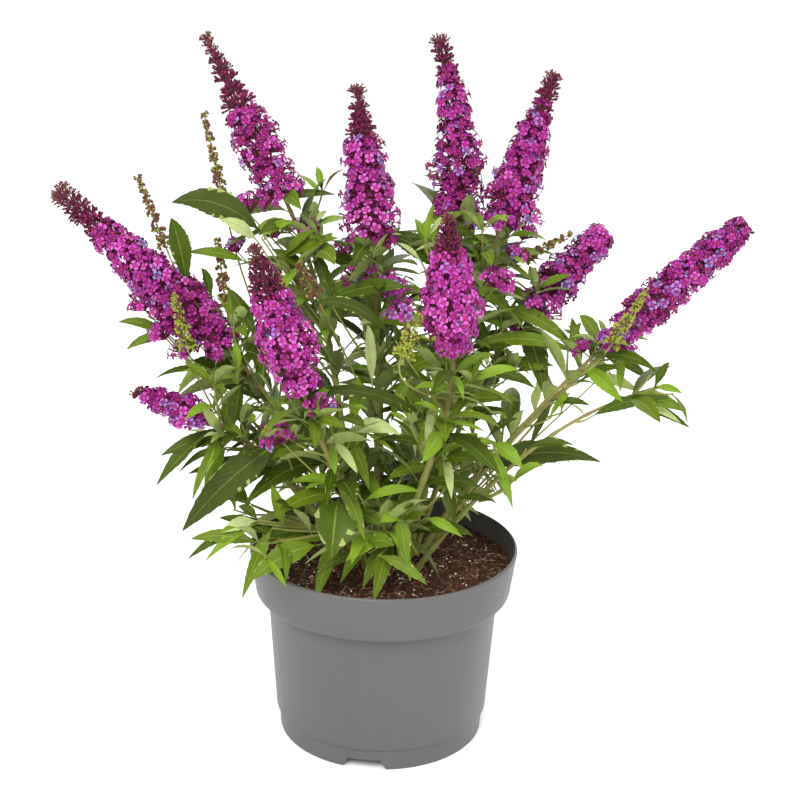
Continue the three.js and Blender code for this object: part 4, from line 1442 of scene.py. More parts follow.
LEAF_LOOKS = {
    "shade": leaf_finish("leaf_shade", "37440c", "5f6c32", 0.44, -1),
    "summer": leaf_finish("leaf_summer", "3d4f08", "728436", 0.44, -1),
    "green": leaf_finish("leaf_green", "586e12", "8d9e44", 0.44, -1),
    "fresh": leaf_finish("leaf_fresh", "71901e", "a0b25a", 0.46, -1),
    "pale": leaf_finish("leaf_pale", "a6b472", "bfc992", 0.6, -1),
    "under": leaf_finish("leaf_under", "8a9852", "a7b276", 0.75, 1),
}
LEAF_SLOTS = list(LEAF_LOOKS)
print("leaf finishes:", LEAF_SLOTS)

# %% Shares of the greens
LEAF_SHARES = {"shade": (("shade", 1),), "summer": (("summer", 0.6), ("green", 1)),
               "green": (("green", 0.8), ("fresh", 1)),
               "fresh": (("green", 0.4), ("fresh", 1)), "pale": (("fresh", 0.3), ("pale", 1))}
print("looks that a leaf can ask for:", list(LEAF_SHARES))

# %% Leaf blades
BLADE = {"petiole": 0.05, "widest": 0.42, "tooth": 0.09, "thickness": 0.35, "least_half": 0.45,
         "fold": (0.12, 0.5), "twist": (-38, 38), "wave": (0.0, 0.13), "sweep": (-0.07, 0.07),
         "arch": (0.01, 0.09), "width": (0.66, 0.92), "fine_below": 45, "segments": 11, "fine_segments": 6}


def blade_half_width(s):
    """The outline: a short stalk, widest before the middle, a long drawn-out tip. From 0 to 1."""
    x = np.clip((s - BLADE["petiole"]) / (1 - BLADE["petiole"]), 0, 1)
    low = np.sin(np.pi / 2 * np.clip(x / BLADE["widest"], 0, 1)) ** 1.05
    high = np.sin(np.pi / 2 * np.clip((1 - x) / (1 - BLADE["widest"]), 0, 1)) ** 0.88
    return np.where(x < BLADE["widest"], low, high)


def blade_plan(segments):
    """Where the points of a blade lie along (s) and across (v) it, and the faces between them."""
    s, v, under = [], [], []
    for i in range(segments + 1):
        s += [i / segments] * 8
        v += [-1, -0.5, 0, 0.5, 1, -0.5, 0, 0.5]
        under += [0] * 5 + [1] * 3
    for i in range(segments):
        s += [(i + 0.78) / segments] * 2
        v += [-1 - BLADE["tooth"], 1 + BLADE["tooth"]]
        under += [0, 0]
    faces, below = [], []
    for i in range(segments):
        a, b = 8 * i, 8 * i + 8
        left = 8 * (segments + 1) + 2 * i
        right = left + 1
        faces += [[a, a + 1, b + 1, b, left], [a + 1, a + 2, b + 2, b + 1],
                  [a + 2, a + 3, b + 3, b + 2], [a + 3, a + 4, right, b + 4, b + 3],
                  [a, left, b, b + 5, a + 5], [a + 5, b + 5, b + 6, a + 6],
                  [a + 6, b + 6, b + 7, a + 7], [a + 7, b + 7, b + 4, right, a + 4]]
        below += [0, 0, 0, 0, 1, 1, 1, 1]
    return np.array(s), np.array(v, float), np.array(under), faces, below


def blade_points(blades, plan, rng):
    """The points of many blades at once: blades x points x 3."""
    s, v, under, _, _ = plan
    count = len(blades)

    def each(key):
        return rng.uniform(*BLADE[key], count)[:, None]

    root, way, across = (np.array([getattr(b, key) for b in blades])[:, None]
                         for key in ("root", "direction", "across"))
    length, droop, wide = (np.array([getattr(b, key) for b in blades])[:, None]
                           for key in ("length", "droop", "wide"))
    sweep, arch = each("sweep"), each("arch")
    lift = 4 * arch * s * (1 - s) - droop * s ** 2
    middle = (root + way * (length * s)[..., None] + UP * (lift * length)[..., None]
              + across * (sweep * length * s ** 2)[..., None])
    slope = 4 * arch * (1 - 2 * s) - 2 * droop * s
    tangent = way + UP * slope[..., None] + across * (2 * sweep * s)[..., None]
    tangent /= np.linalg.norm(tangent, axis=-1, keepdims=True)
    side = across - tangent * (across * tangent).sum(-1, keepdims=True)
    side /= np.linalg.norm(side, axis=-1, keepdims=True)
    above = np.cross(side, tangent)
    twist = np.radians(each("twist")) * s
    side, above = (side * np.cos(twist)[..., None] + above * np.sin(twist)[..., None],
                   above * np.cos(twist)[..., None] - side * np.sin(twist)[..., None])
    full = length * LEAF["width_share"] / 2 * each("width") * wide
    half = np.maximum(BLADE["least_half"] * (1 - s), full * blade_half_width(s))
    ripple = each("wave") * np.sin(s * 11 + rng.uniform(0, 6.3, count)[:, None] + v * 1.5)
    height = half * (each("fold") * np.abs(v) * (1 - 0.3 * np.abs(v)) + ripple * v ** 2)
    height = height - under * BLADE["thickness"] * (1 - s)
    return middle + side * (half * v)[..., None] + above * height[..., None]


print("points of one long blade:", len(blade_plan(BLADE["segments"])[0]))


# %% Leaf pieces
def leaf_mesh(name, blades, seed):
    rng = np.random.default_rng(seed)
    points, faces, looks, sheet = [], [], [], []
    for fine in (False, True):
        group = [b for b in blades if (b.length < BLADE["fine_below"]) == fine]
        if not group:
            continue
        plan = blade_plan(BLADE["fine_segments"] if fine else BLADE["segments"])
        placed = blade_points(group, plan, rng)
        uv = np.stack([plan[1] / 2 + 0.5, plan[0]], 1)
        for blade, corners in zip(group, placed):
            first = len(points)
            points.extend(corners)
            sheet.extend(uv)
            draw = rng.random()
            top = next(look for look, limit in LEAF_SHARES[blade.look] if draw < limit)
            for face, is_below in zip(plan[3], plan[4]):
                faces.append([first + corner for corner in face])
                looks.append(LEAF_SLOTS.index("under" if is_below else top))
    piece = mesh_piece(name, points, faces, LEAF_LOOKS.values(), looks, smooth_below=50)
    layer = piece.data.uv_layers.new(name="blade")
    corner_points = np.zeros(len(piece.data.loops), np.int32)
    piece.data.loops.foreach_get("vertex_index", corner_points)
    layer.data.foreach_set("uv", np.array(sheet, np.float32)[corner_points].ravel())
    return piece


MASS_NODES = [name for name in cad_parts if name.startswith("leaves_")]
ALL_BLADES = [blade for mass in MASSES for blade in mass.blades]
large = [blade for blade in ALL_BLADES if blade.length >= BLADE["fine_below"]]
small = [blade for blade in ALL_BLADES if blade.length < BLADE["fine_below"]]
settle(leaf_mesh("leaf_blades", large, 21), "foliage", *MASS_NODES)
settle(leaf_mesh("young_leaves", small, 22), "foliage")

# %% [markdown]
# ## Stems and twigs
# The shoots are slender canes, five or six millimetres thick at the foot, a little swollen where
# leaves stand, green low down and reddish brown higher up. A cane follows a path and its skin
# follows a rule, so geometry nodes make it: a curve gets a round section of its own girth, and
# fine noise lifts the bark. The same group makes the twigs and the flower stalks.

# %% Tube group
def tube_group():
    board, given = new_group("tube along a path", {
        "Ring Points": ("Int", 8), "Relief": ("Float", 0.0), "Relief Scale": ("Float", 400.0),
        "Look": ("Material", None)})
    girth = carried(board, "girth")
    curve = board.node("GeometryNodeMeshToCurve", {}, [given["Geometry"]])
    ring = board.node("GeometryNodeCurvePrimitiveCircle", {}, {
        "Resolution": given["Ring Points"], "Radius": 1.0})
    tube = board.node("GeometryNodeCurveToMesh", {}, {
        "Curve": curve, "Profile Curve": ring, "Scale": girth, "Fill Caps": True})
    lumps = board.node("ShaderNodeTexNoise", {}, {"Scale": given["Relief Scale"], "Detail": 2.0}, "Fac")
    lift = (lumps - 0.5) * girth * given["Relief"]
    normal = board.node("GeometryNodeInputNormal")
    offset = board.node("ShaderNodeVectorMath", {"operation": "SCALE"}, {"Vector": normal, "Scale": lift})
    barked = board.node("GeometryNodeSetPosition", {}, {"Geometry": tube, "Offset": offset})
    smooth = board.node("GeometryNodeSetShadeSmooth", {}, [barked])
    real = board.node("GeometryNodeRealizeInstances", {}, [smooth])
    dressed = board.node("GeometryNodeSetMaterial", {}, {"Geometry": real, "Material": given["Look"]})
    return end_group(board, dressed)


TUBE = tube_group()
print("tube group nodes:", len(TUBE.nodes))


def tubes(name, lines, ring_points, relief, look):
    """One mesh of tubes from lines given as (points, radii, ages), in millimetres."""
    points, edges, radii, ages = [], [], [], []
    for line, thickness, age in lines:
        first = len(points)
        points.extend(line)
        radii.extend(thickness)
        ages.extend(age)
        edges.extend((first + i, first + i + 1) for i in range(len(line) - 1))
    mesh = new_mesh(name, points, edges)
    add_layer(mesh, "girth", "FLOAT", np.array(radii, np.float32) * MM)
    add_layer(mesh, "age", "FLOAT", ages)
    return baked(linked(name, mesh), TUBE, {"Ring Points": ring_points, "Relief": relief, "Look": look})


def bark_finish():
    """Cane bark: green when low and young, reddish brown above, streaked along and finely spotted."""
    finish = Finish("cane_bark", {"Roughness": 0.6, "Specular IOR Level": 0.3})
    age = finish.node("ShaderNodeAttribute", {"attribute_name": "age"}, output="Fac")
    patches = finish.noise(70, 3)
    spots = finish.ramp(finish.noise(900, 1), 0.62, 0.72)
    red = finish.ramp(age + patches * 0.5, 0.7, 1.5)
    skin = finish.blend(red, paint("868842"), paint("7e5e42"))
    finish.feed("Base Color", finish.blend(spots * 0.35, skin, paint("b4a676")))
    finish.relief(finish.noise(600, 2) + spots, 0.0003)
    return finish.material


# %% Canes and twigs
NODE_SWELLING = 0.32
NODE_LENGTH = 2.6
BARE_NODE_PITCH = 34
CANE_STEPS = 64
FOOT_FLARE = (4.2, 3.4, 3.0)
FOOT_DEPTH = 4
TWIGLET_RADII = (0.75, 0.45)
TWIG_AGE = 0.45
GREEN_AGE = 0.1
SLIM = {"right_far": 0.8, "right_leafy": 0.75, "right_mid": 0.85}


def cane(path, start, end, radius_at, nodes, age_at):
    """A tapering tube along part of a path, swollen at the given places."""
    line, radii, ages = [], [], []
    length = path.length()
    for i in range(CANE_STEPS + 1):
        t = mix(start, end, i / CANE_STEPS)
        near = min((abs(t - node) * length for node in nodes), default=99)
        swell = 1 + NODE_SWELLING * math.exp(-(near / NODE_LENGTH) ** 2)
        line.append(path.point(t))
        radii.append(radius_at(t) * swell)
        ages.append(age_at(t))
    return line, radii, ages


def shoot_canes():
    lines = []
    for name, path in LIMBS.items():
        mass = mass_of(name)
        length = path.length()
        bare = list(np.arange(0.1, LIMB["share"], BARE_NODE_PITCH / length))
        leafy = [t for t, *_ in mass.axils]
        nodes = bare + leafy if name in SHOOTS else list(np.arange(0.1, 1, BARE_NODE_PITCH / length))
        slim = SLIM.get(name, 1)
        lines.append(cane(path, 0, 1, lambda t, part=slim: limb_radius(t) * part, nodes, lambda t: t))
        foot = path.point(0) - path.tangent(0) * FOOT_DEPTH
        lines.append(([foot, path.point(0), path.point(0.02)], FOOT_FLARE, [0, 0, 0]))
    for mass in MASSES:
        if mass.name in SHOOTS:
            continue
        low, high = mass.radii
        nodes = [t for t, *_ in mass.axils]
        lines.append(cane(mass.stem, mass.start, 1, lambda t, a=low, b=high: mix(a, b, t), nodes,
                          lambda t: GREEN_AGE))
    return lines


def twig_lines():
    lines = []
    for mass in MASSES:
        for root, knee, end in mass.twigs:
            line = Path(root, knee, end).stretch(0, 1, 7)
            lines.append((line, np.linspace(TWIG["radius"], TWIG["tip_radius"], 8), [TWIG_AGE] * 8))
    for root, knee, end in TWIGLETS:
        line = Path(root, knee, end).stretch(0, 1, 4)
        lines.append((line, np.linspace(*TWIGLET_RADII, 5), [GREEN_AGE] * 5))
    return lines


BARK = bark_finish()
LIMB_NODES = [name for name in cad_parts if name.startswith("limb_")]
settle(tubes("canes", shoot_canes(), 12, 0.16, BARK), "stem", *LIMB_NODES)
settle(tubes("twigs", twig_lines(), 6, 0.1, BARK), "stem")

# %% [markdown]
# ## Blossom
# A panicle is a spire of small domed clusters. They stand in opposite sets of two to four, each set
# turned a quarter from the one below. Each flower in a cluster is a thin tube that opens into four
# rounded lobes round an orange throat. Flowers open from the bottom up: the upper part is still
# club-shaped maroon buds, and the oldest flowers fade to lilac. A flower is repeated thousands of
# times, so it has only a few dozen faces, and geometry nodes stand a copy on each point of the rule.

# %% Flower, bud and grain forms
PARTS = ["petal", "edge", "throat", "eye", "tube", "calyx"]
FLORET = {"radius": 4.2, "throat": 0.85, "eye": 0.45, "dent": -0.8, "depth": -1.5}
LOBE_ROWS = ((0.54, 37, 0.35, 0.05), (0.86, 31, 0.15, 0.30))
LOBE_TIP = {"reach": 1.0, "half_angle": 13, "lift": -0.1}
FORM_SHARP_FROM = 70
TUBE_RINGS = (("tube", -0.5, 0.8, -5.8, 0.5), ("calyx", -5.4, 0.8, -7.8, 0.35))


def form_object(name, points, faces, parts):
    mesh = new_mesh(name, points, faces=faces)
    mesh.polygons.foreach_set("use_smooth", [True] * len(faces))
    add_layer(mesh, "part", "INT", [PARTS.index(part) for part in parts], "FACE")
    mesh.set_sharp_from_angle(angle=math.radians(FORM_SHARP_FROM))
    return bpy.data.objects.new(name, mesh)


def around(radius, degrees, height):
    angle = math.radians(degrees)
    return (radius * math.cos(angle), radius * math.sin(angle), height)


def floret_form(name, cup, ruffle):
    """Four lobes round a throat, on a tube that points down. cup lifts the lobes."""
    points = [around(FLORET["eye"], 45 * k, FLORET["dent"]) for k in range(8)]
    points += [around(FLORET["throat"], 45 * k, 0) for k in range(8)]
    points.append((0, 0, FLORET["depth"]))
    faces = [[(k + 1) % 8, k, 16] for k in range(8)]
    faces += [[(k + 1) % 8, 8 + (k + 1) % 8, 8 + k, k] for k in range(8)]
    parts = ["eye"] * 8 + ["throat"] * 8
    for lobe in range(4):
        middle = 90 * lobe
        bend = cup + ruffle * (1 if lobe % 2 else -1)
        row = [8 + (2 * lobe - 1) % 8, 8 + 2 * lobe, 8 + 2 * lobe + 1]
        for (reach, half_angle, edge_lift, middle_lift), part in zip(LOBE_ROWS, ("petal", "edge")):
            above = [len(points), len(points) + 1, len(points) + 2]
            for side, lift in ((-1, edge_lift), (0, middle_lift), (1, edge_lift * 0.5)):
                points.append(around(FLORET["radius"] * reach, middle + side * half_angle,
                                     bend * reach + lift))
            faces += [[row[0], above[0], above[1], row[1]], [row[1], above[1], above[2], row[2]]]
            parts += [part, part]
            row = above
        tip = len(points)
        for side in (-1, 1):
            points.append(around(FLORET["radius"] * LOBE_TIP["reach"], middle + side * LOBE_TIP["half_angle"],
                                 bend + LOBE_TIP["lift"]))
        faces += [[row[0], tip, row[1]], [row[1], tip, tip + 1], [row[1], tip + 1, row[2]]]
        parts += ["edge"] * 3
    for part, top, top_radius, foot, foot_radius in TUBE_RINGS:
        first = len(points)
        points += [around(top_radius, 72 * k, top) for k in range(5)]
        points += [around(foot_radius, 72 * k, foot) for k in range(5)]
        faces += [[first + k, first + 5 + k, first + 5 + (k + 1) % 5, first + (k + 1) % 5] for k in range(5)]
        parts += [part] * 5
    return form_object(name, points, faces, parts)


def turned_form(name, profile, sides, part_from):
    """A small turned body, such as a bud. part_from gives the part from each height upwards."""
    points = [around(radius, 360 * k / sides, height) for radius, height in profile for k in range(sides)]
    faces, parts = [], []
    for i in range(len(profile) - 1):
        part = [title for height, title in part_from if profile[i][1] >= height][-1]
        for k in range(sides):
            after = (k + 1) % sides
            faces.append([sides * i + k, sides * i + after, sides * i + sides + after, sides * i + sides + k])
            parts.append(part)
    top = sides * (len(profile) - 1)
    faces += [list(range(sides))[::-1], [top + k for k in range(sides)]]
    parts += [part_from[0][1], part_from[-1][1]]
    return form_object(name, points, faces, parts)


def form_family(name, forms):
    family = bpy.data.collections.new(name)
    for form in forms:
        family.objects.link(form)
    return family


FLORET_LENGTH = 7.6
BUD_LENGTH = 8.4
BUD_PROFILE = ((0.45, 0), (0.85, 1.0), (0.6, 2.8), (0.75, 5.4), (1.2, 6.8), (1.05, 7.8), (0.4, BUD_LENGTH))
GRAIN_PROFILE = ((0.4, 0), (1.0, 0.7), (1.05, 1.5), (0.3, 2.4))
FLORETS = form_family("florets", [floret_form("floret_a", -0.1, 0.15), floret_form("floret_b", 0.7, 0.1),
                                  floret_form("floret_c", -0.9, 0.2)])
BUDS = form_family("buds", [turned_form("bud", BUD_PROFILE, 5, ((0, "calyx"), (2.5, "petal")))])
GRAINS = form_family("grains", [turned_form("grain", GRAIN_PROFILE, 5, ((0, "calyx"), (0.6, "petal")))])


# %% Group that stands forms on points
def standing_group():
    """Copies of a family's forms on points that carry facing, spin, size and form."""
    sockets = {"Forms": ("Collection", None)}
    sockets.update({f"{part} look": ("Material", None) for part in PARTS})
    board, given = new_group("stand forms on points", sockets)

    family = board.node("GeometryNodeCollectionInfo", {}, {
        "Collection": given["Forms"], "Separate Children": True, "Reset Children": True})
    aimed = board.node("FunctionNodeAlignRotationToVector", {"axis": "Z"}, {
        "Vector": carried(board, "facing", "FLOAT_VECTOR")})
    spin = board.node("FunctionNodeAxisAngleToRotation", {}, {
        "Axis": (0, 0, 1), "Angle": carried(board, "spin")})
    pose = board.node("FunctionNodeRotateRotation", {"rotation_space": "LOCAL"}, [aimed, spin])
    copies = board.node("GeometryNodeInstanceOnPoints", {}, {
        "Points": given["Geometry"], "Instance": family, "Pick Instance": True,
        "Instance Index": carried(board, "form", "INT"), "Rotation": pose, "Scale": carried(board, "size")})
    shape = board.node("GeometryNodeRealizeInstances", {}, [copies])
    for index, part in enumerate(PARTS):
        chosen = board.node("FunctionNodeCompare", {"data_type": "INT", "operation": "EQUAL"},
                            {2: carried(board, "part", "INT"), 3: index})
        shape = board.node("GeometryNodeSetMaterial", {}, {
            "Geometry": shape, "Selection": chosen, "Material": given[f"{part} look"]})
    return end_group(board, shape)


STANDING = standing_group()
CARRIED = {"facing": "FLOAT_VECTOR", "spin": "FLOAT", "size": "FLOAT", "form": "INT"}
print("standing group nodes:", len(STANDING.nodes))


def stand(name, family, points, looks):
    """points: a list of (place, facing, spin, size, form) in millimetres."""
    places, *columns = zip(*points)
    mesh = new_mesh(name, places)
    for (title, kind), values in zip(CARRIED.items(), columns):
        add_layer(mesh, title, kind, values)
    inputs = {"Forms": family}
    inputs.update({f"{part} look": looks.get(part) for part in PARTS})
    return baked(linked(name, mesh), STANDING, inputs)


# %% Blossom finishes
def petal_finish(name, colour):
    """Thin soft tissue: a slightly mottled colour, fairly rough, with little gloss."""
    return mottled(name, colour, roughness=0.55, gloss=0.16, scale=260, spread=0.2)


THROAT = petal_finish("throat_orange", "c4583a")
# The eye, the small cone that closes each flower's throat, is dark maroon: painted shade inside the tube.
THROAT_SHADE = petal_finish("throat_depth", "560f28")
TUBE_SKIN = petal_finish("flower_tube", "8e2462")
CALYX = petal_finish("calyx", "5a3a3c")
PETAL_COLOURS = {
    "deep": ("680a50", "7e1a68"), "bright": ("7a1267", "982e88"), "rich": ("86146c", "a63a94"),
    "pink": ("962682", "b656a6"), "lilac": ("783282", "966aae"), "violet": ("5c387b", "7e74a8"),
}
PETALS = {look: [petal_finish(f"petal_{look}", inner), petal_finish(f"petal_edge_{look}", outer)]
          for look, (inner, outer) in PETAL_COLOURS.items()}
BUD_COLOURS = {"maroon": "5c1f36", "rose": "7c1c50", "brown": "6a4236", "green": "8a9136"}
BUD_SKINS = {look: petal_finish(f"bud_{look}", colour) for look, colour in BUD_COLOURS.items()}
print("blossom finishes:", 2 * len(PETALS) + len(BUD_SKINS) + 4)

# %% The panicle's rule
PANICLE = {"whorl": (15.0, 5.2), "dense": {20: (-66, -22, 22, 66), 7: (-57, 0, 57), 0: (-32, 32)},
           "loose": {7: (-57, 0, 57), 0: (-32, 32)}, "dome": (7.6, 3.4), "cap": 80, "lean": (0.12, 0.75),
           "flowers": (7, 5), "buds": (9, 8), "stalk": 9, "change": 0.09, "least": 0.22,
           "uneven": (0.92, 1.05), "core": 0.7, "core_fade": (0.08, 0.15), "stem": (1.7, 0.9),
           "set_in": (0.84, 1.08), "swing": 14, "shift": 3.5, "end": 0.985, "main_look": 0.4}
INNER_DOME = {"size": 0.62, "bud_size": 0.9}
TIP_DOME = {"at": 0.955, "size": 0.62, "cap": 75, "buds": 14, "bud_size": 0.5}
FAN = {"whorl": 0.35, "flowers": 0.35, "set_in": 0.32, "reach": 0.66, "rise": 0.5, "below": 0.36, "cap": 54,
       "inner": 3, "uneven": (0.78, 1.1)}
BLOOM = {
    "left_far": {"buds": 0.27, "age": 0.15, "bow": (1, 0, 1), "foot": 0.6, "inner": 2,
                 "least": 0.42},
    "left_tall": {"buds": 0.46, "age": 0.25, "tone": 0.0, "lobes": "loose", "fan": 1.0, "foot": 0.8,
                  "girth": 0.95, "least": 0.3},
    "mid_left": {"buds": 0.34, "age": 0.3, "tone": 0.8, "lobes": "loose", "fan": 1.0, "foot": 0.9,
                 "least": 0.32},
    "mid_tall": {"buds": 0.16, "age": 0.60, "tone": 0.0, "bow": (7, 0, 0), "lobes": "loose", "fan": 1.0,
                 "foot": 0.8, "girth": 1.14, "least": 0.38},
    "right_tall": {"buds": 0.20, "age": 0.45, "tone": 0.35, "lobes": "loose", "fan": 1.0, "foot": 0.75,
                   "least": 0.42},
    "right_mid": {"buds": 0.08, "age": 1.00, "tone": 1.25, "fan": 0.8, "foot": 0.8, "girth": 1.2,
                  "inner": 2},
    "right_far": {"buds": 0.03, "age": 2.00, "tone": 0.0},
    "front_mid": {"buds": 0.26, "age": 0.15, "tone": 1.0, "girth": 0.96, "inner": 1},
    "front_left": {"buds": 0.34, "age": 0.12, "tone": 0.85, "girth": 0.95, "inner": 2},
    "left_low": {"buds": 0.10, "age": 0.45, "tone": 0.3},
    "back_left": {"buds": 0.3, "age": 0.2}, "back_right": {"buds": 0.25, "age": 0.3},
    "rear_left": {"buds": 0.2, "age": 0.2}, "rear_mid": {"buds": 0.3, "age": 0.2},
    "rear_right": {"buds": 0.15, "age": 0.4},
}
GOLDEN = 137.508
flowers = {look: [] for look in PETALS}
buds = {look: [] for look in BUD_SKINS}
grains = {look: [] for look in ("brown", "green")}
stalks = []
cores = []


print("looks of petals and buds:", len(flowers), len(buds))


# %% Looks along a panicle
def petal_look(share, age, tone, chance):
    """Deep colour high up, fading colours on old blossom, bright ones between. tone 1 is the brightest."""
    weights = {"deep": (0.25 + 0.8 * share) * max(0, 1.5 - tone), "bright": 0.45, "rich": 0.2 + 0.6 * tone,
               "pink": (0.1 + 0.6 * tone) * (1 - 0.7 * share), "lilac": 0.8 * age, "violet": 0.3 * age}
    draw = chance() * sum(weights.values())
    for look, weight in weights.items():
        draw -= weight
        if draw < 0:
            return look
    return "bright"


def bud_look(depth, chance):
    """depth runs from 0, where the buds begin, to 1 at the panicle's tip."""
    if depth > 0.7:
        return "brown" if chance() < 0.6 else "maroon"
    return "rose" if chance() < 0.55 - 0.7 * depth else "maroon"


def jitter(chance):
    return vec((chance(), chance(), chance())) - 0.5


def add_stalk(line, radii, age=0.75):
    stalks.append((line, radii, [age] * len(line)))


def add_core(line, radii):
    cores.append((line, radii, [0] * len(line)))


print("a bud low down:", bud_look(0, seeded(SEED)))


# %% Domes of flowers and buds
def grow_dome(centre, heading, reach, cap, count, bud_share, bud_size, depth, look_at, chance):
    """Flowers and buds side by side on a dome, their tubes running together at its centre."""
    for k in range(count):
        ring = ring_direction(heading, k * GOLDEN + chance() * 30)
        angle = math.radians(cap * math.sqrt((k + 0.4) / count))
        way = heading * math.cos(angle) + ring * math.sin(angle)
        facing = unit(way + jitter(chance) * 0.35)
        spot = centre + way * reach * pick((0.8, 1.2), chance)
        if chance() < bud_share:
            size = bud_size * pick((0.85, 1.15), chance)
            foot = centre + way * max(0, reach - BUD_LENGTH * size * 0.8)
            buds[bud_look(depth, chance)].append((foot, facing, chance() * 6.28, size, 0))
        else:
            size = pick((0.86, 1.06), chance)
            foot = spot - facing * FLORET_LENGTH * size
            flowers[look_at()].append((spot, facing, chance() * 6.28, size, int(chance() * 3)))
        if (foot - centre) @ way > 0.5:
            add_core([centre, foot + way * 0.5], [0.5, 0.42])


print("flowers turn by (degrees):", GOLDEN)


# %% Panicles
def grow_panicle(head, tip, girth, taper, facts, seed):
    """Sets of domes from the foot to the tip. fan spreads them out: 0 is packed close, 1 stands open."""
    chance = seeded(seed)
    head, tip = vec(head), vec(tip)
    length = np.linalg.norm(tip - head)
    axis = unit(tip - head)
    bow = vec(facts.get("bow", (0, 0, 1)))
    buds_from = 1 - facts["buds"]
    tone, lobes, fan = facts.get("tone", 0.5), PANICLE[facts.get("lobes", "dense")], facts.get("fan", 0.5)
    inner = facts.get("inner", FAN["inner"] if fan == 1 else 0)
    least = facts.get("least", PANICLE["least"])
    girth *= facts.get("girth", 1.03)

    def place(share):
        share = min(max(share, 0.01), 1)
        return head + axis * share * length + bow * 4 * share * (1 - share)

    def radius(share):
        foot = facts.get("foot", 0.45)
        swell = panicle_swell(max(share, 0.33), taper) if share > 0.33 else min(1, foot + 1.65 * share)
        return girth / 2 * max(least, swell)

    share = min(PANICLE["stalk"], length * 0.08) / length
    turn = chance() * 90
    while share < PANICLE["end"]:
        wide = radius(share) * pick(FAN["uneven"] if fan > 0.6 else PANICLE["uneven"], chance)
        depth = max(0, (share - buds_from) / max(0.01, facts["buds"]))
        bud_share = np.clip((share - buds_from) / PANICLE["change"] + 0.5, 0.05, 1)
        count = mix(*PANICLE["buds"], depth) if bud_share > 0.5 else mix(*PANICLE["flowers"], share)
        count = round(count * mix(1, (1 + FAN["flowers"]) * (0.3 + 0.7 * wide / girth * 2), fan))
        for half in (0, 180):
            main_look = petal_look(share, 0, tone, chance)
            for lobe in next(row for narrowest, row in lobes.items() if wide >= narrowest):
                out = ring_direction(axis, turn + half + lobe + PANICLE["swing"] * (chance() - 0.5))
                here = share + PANICLE["shift"] * (chance() - 0.5) / length
                dome = min(mix(*PANICLE["dome"], share), wide * 0.7)
                reach = mix(dome, wide * FAN["reach"], fan)
                set_in = wide * mix(pick(PANICLE["set_in"], chance) - dome / wide, FAN["set_in"], fan)
                here -= wide * FAN["below"] * fan / length
                heading = unit(out + axis * (mix(*PANICLE["lean"], share) + FAN["rise"] * fan * (1 + depth)))
                centre = place(here) + out * set_in
                root = place(here - 0.6 * wide / length)
                add_core([root, mix(root, centre, 0.5) + out * 0.6, centre], [0.75, 0.6, 0.5])
                cap = mix(PANICLE["cap"], FAN["cap"], fan)
                grow_dome(centre, heading, reach, cap, count, bud_share, mix(1.0, 0.5, depth), depth,
                          lambda: (main_look if chance() < PANICLE["main_look"]
                                   else petal_look(share, facts["age"], tone, chance)), chance)
                if bud_share < 0.5 and inner:
                    grow_dome(centre, heading, reach * INNER_DOME["size"], cap, inner, 1,
                              INNER_DOME["bud_size"], 0, None, chance)
        turn += 90
        share += mix(*PANICLE["whorl"], share ** 0.7) * (1 + FAN["whorl"] * fan * (1 - depth)) / length
    grow_dome(place(TIP_DOME["at"]), axis, girth / 2 * least * TIP_DOME["size"], TIP_DOME["cap"],
              TIP_DOME["buds"], 1, TIP_DOME["bud_size"], 1, None, chance)
    # The last core is the rachis, thickened below the buds into a solid maroon body: partly the real axis,
    # partly painted shade that fills the blossom's inside so that no gap shows through.
    steps = np.linspace(0, 0.98, 20)
    below, fade = PANICLE["core_fade"]
    packed = (1 - fan) * PANICLE["core"] * np.clip((buds_from - below - steps) / fade, 0, 1)
    radii = [mix(*PANICLE["stem"], s) + part * radius(s) for s, part in zip(steps, packed)]
    add_core([place(s) for s in steps], radii)


for number, (name, (head, tip, girth, _, taper)) in enumerate(SHOOTS.items()):
    grow_panicle(head, tip, girth, taper, BLOOM[name], SEED * 3000 + number)
print("flowers:", {look: len(made) for look, made in flowers.items()},
      "- buds:", {look: len(made) for look, made in buds.items()})

# %% [markdown]
# ## Small clusters and bud spikes
# Under the panicles stand smaller heads of blossom on side stalks, and slender spikes of buds that
# haven't opened. A cluster's row gives its shoot, centre and width. A spike's row gives its shoot,
# foot, tip, girth, colour and how slanting the stalk is that carries it.

# %% Small clusters and bud spikes
CLUSTERS = (
    ("front_left", (-82, -84, 291), 32),
    ("front_left", (-47, -94, 318), 26),
    ("front_left", (-62, -80, 333), 35),
    ("left_far", (-197, -8, 372), 26),
    ("left_far", (-181, -12, 351), 29),
    ("left_far", (-163, -14, 337), 27),
    ("right_far", (154, -10, 344), 20),
    ("right_far", (191, -15, 343), 21),
    ("left_tall", (-126, 30, 411), 20),
    ("left_tall", (-94, 30, 423), 18),
    ("left_tall", (-65, 22, 428), 24),
    ("left_tall", (-119, 32, 447), 36),
    ("mid_left", (-26, 4, 395), 30),
    ("mid_left", (5, -6, 390), 28),
    ("mid_tall", (8, -16, 372), 27),
    ("mid_tall", (51, 38, 449), 26),
    ("mid_tall", (66, 40, 434), 27),
    ("right_tall", (84, 20, 443), 35),
    ("right_tall", (112, 22, 443), 24),
    ("right_tall", (86, -16, 400), 32),
    ("right_tall", (103, 18, 413), 23),
    ("right_mid", (128, 38, 365), 40),
    ("right_mid", (109, 38, 341), 25),
    ("left_low", (-154, -50, 293), 28),
    ("back_left", (-40, 130, 392), 30),
    ("back_right", (118, 128, 410), 30),
    ("rear_left", (-150, 128, 300), 28),
    ("rear_mid", (64, 160, 290), 28),
    ("rear_right", (196, 108, 310), 28),
)
CLUSTER = {"reach": 0.54, "cap": 66, "flowers": 0.72, "age": 0.4, "slope": 0.9, "buds": 0.16,
           "bud_size": 0.7, "rise": 0.6, "fork": 0.36, "inner": 0.66, "inner_buds": 0.2}
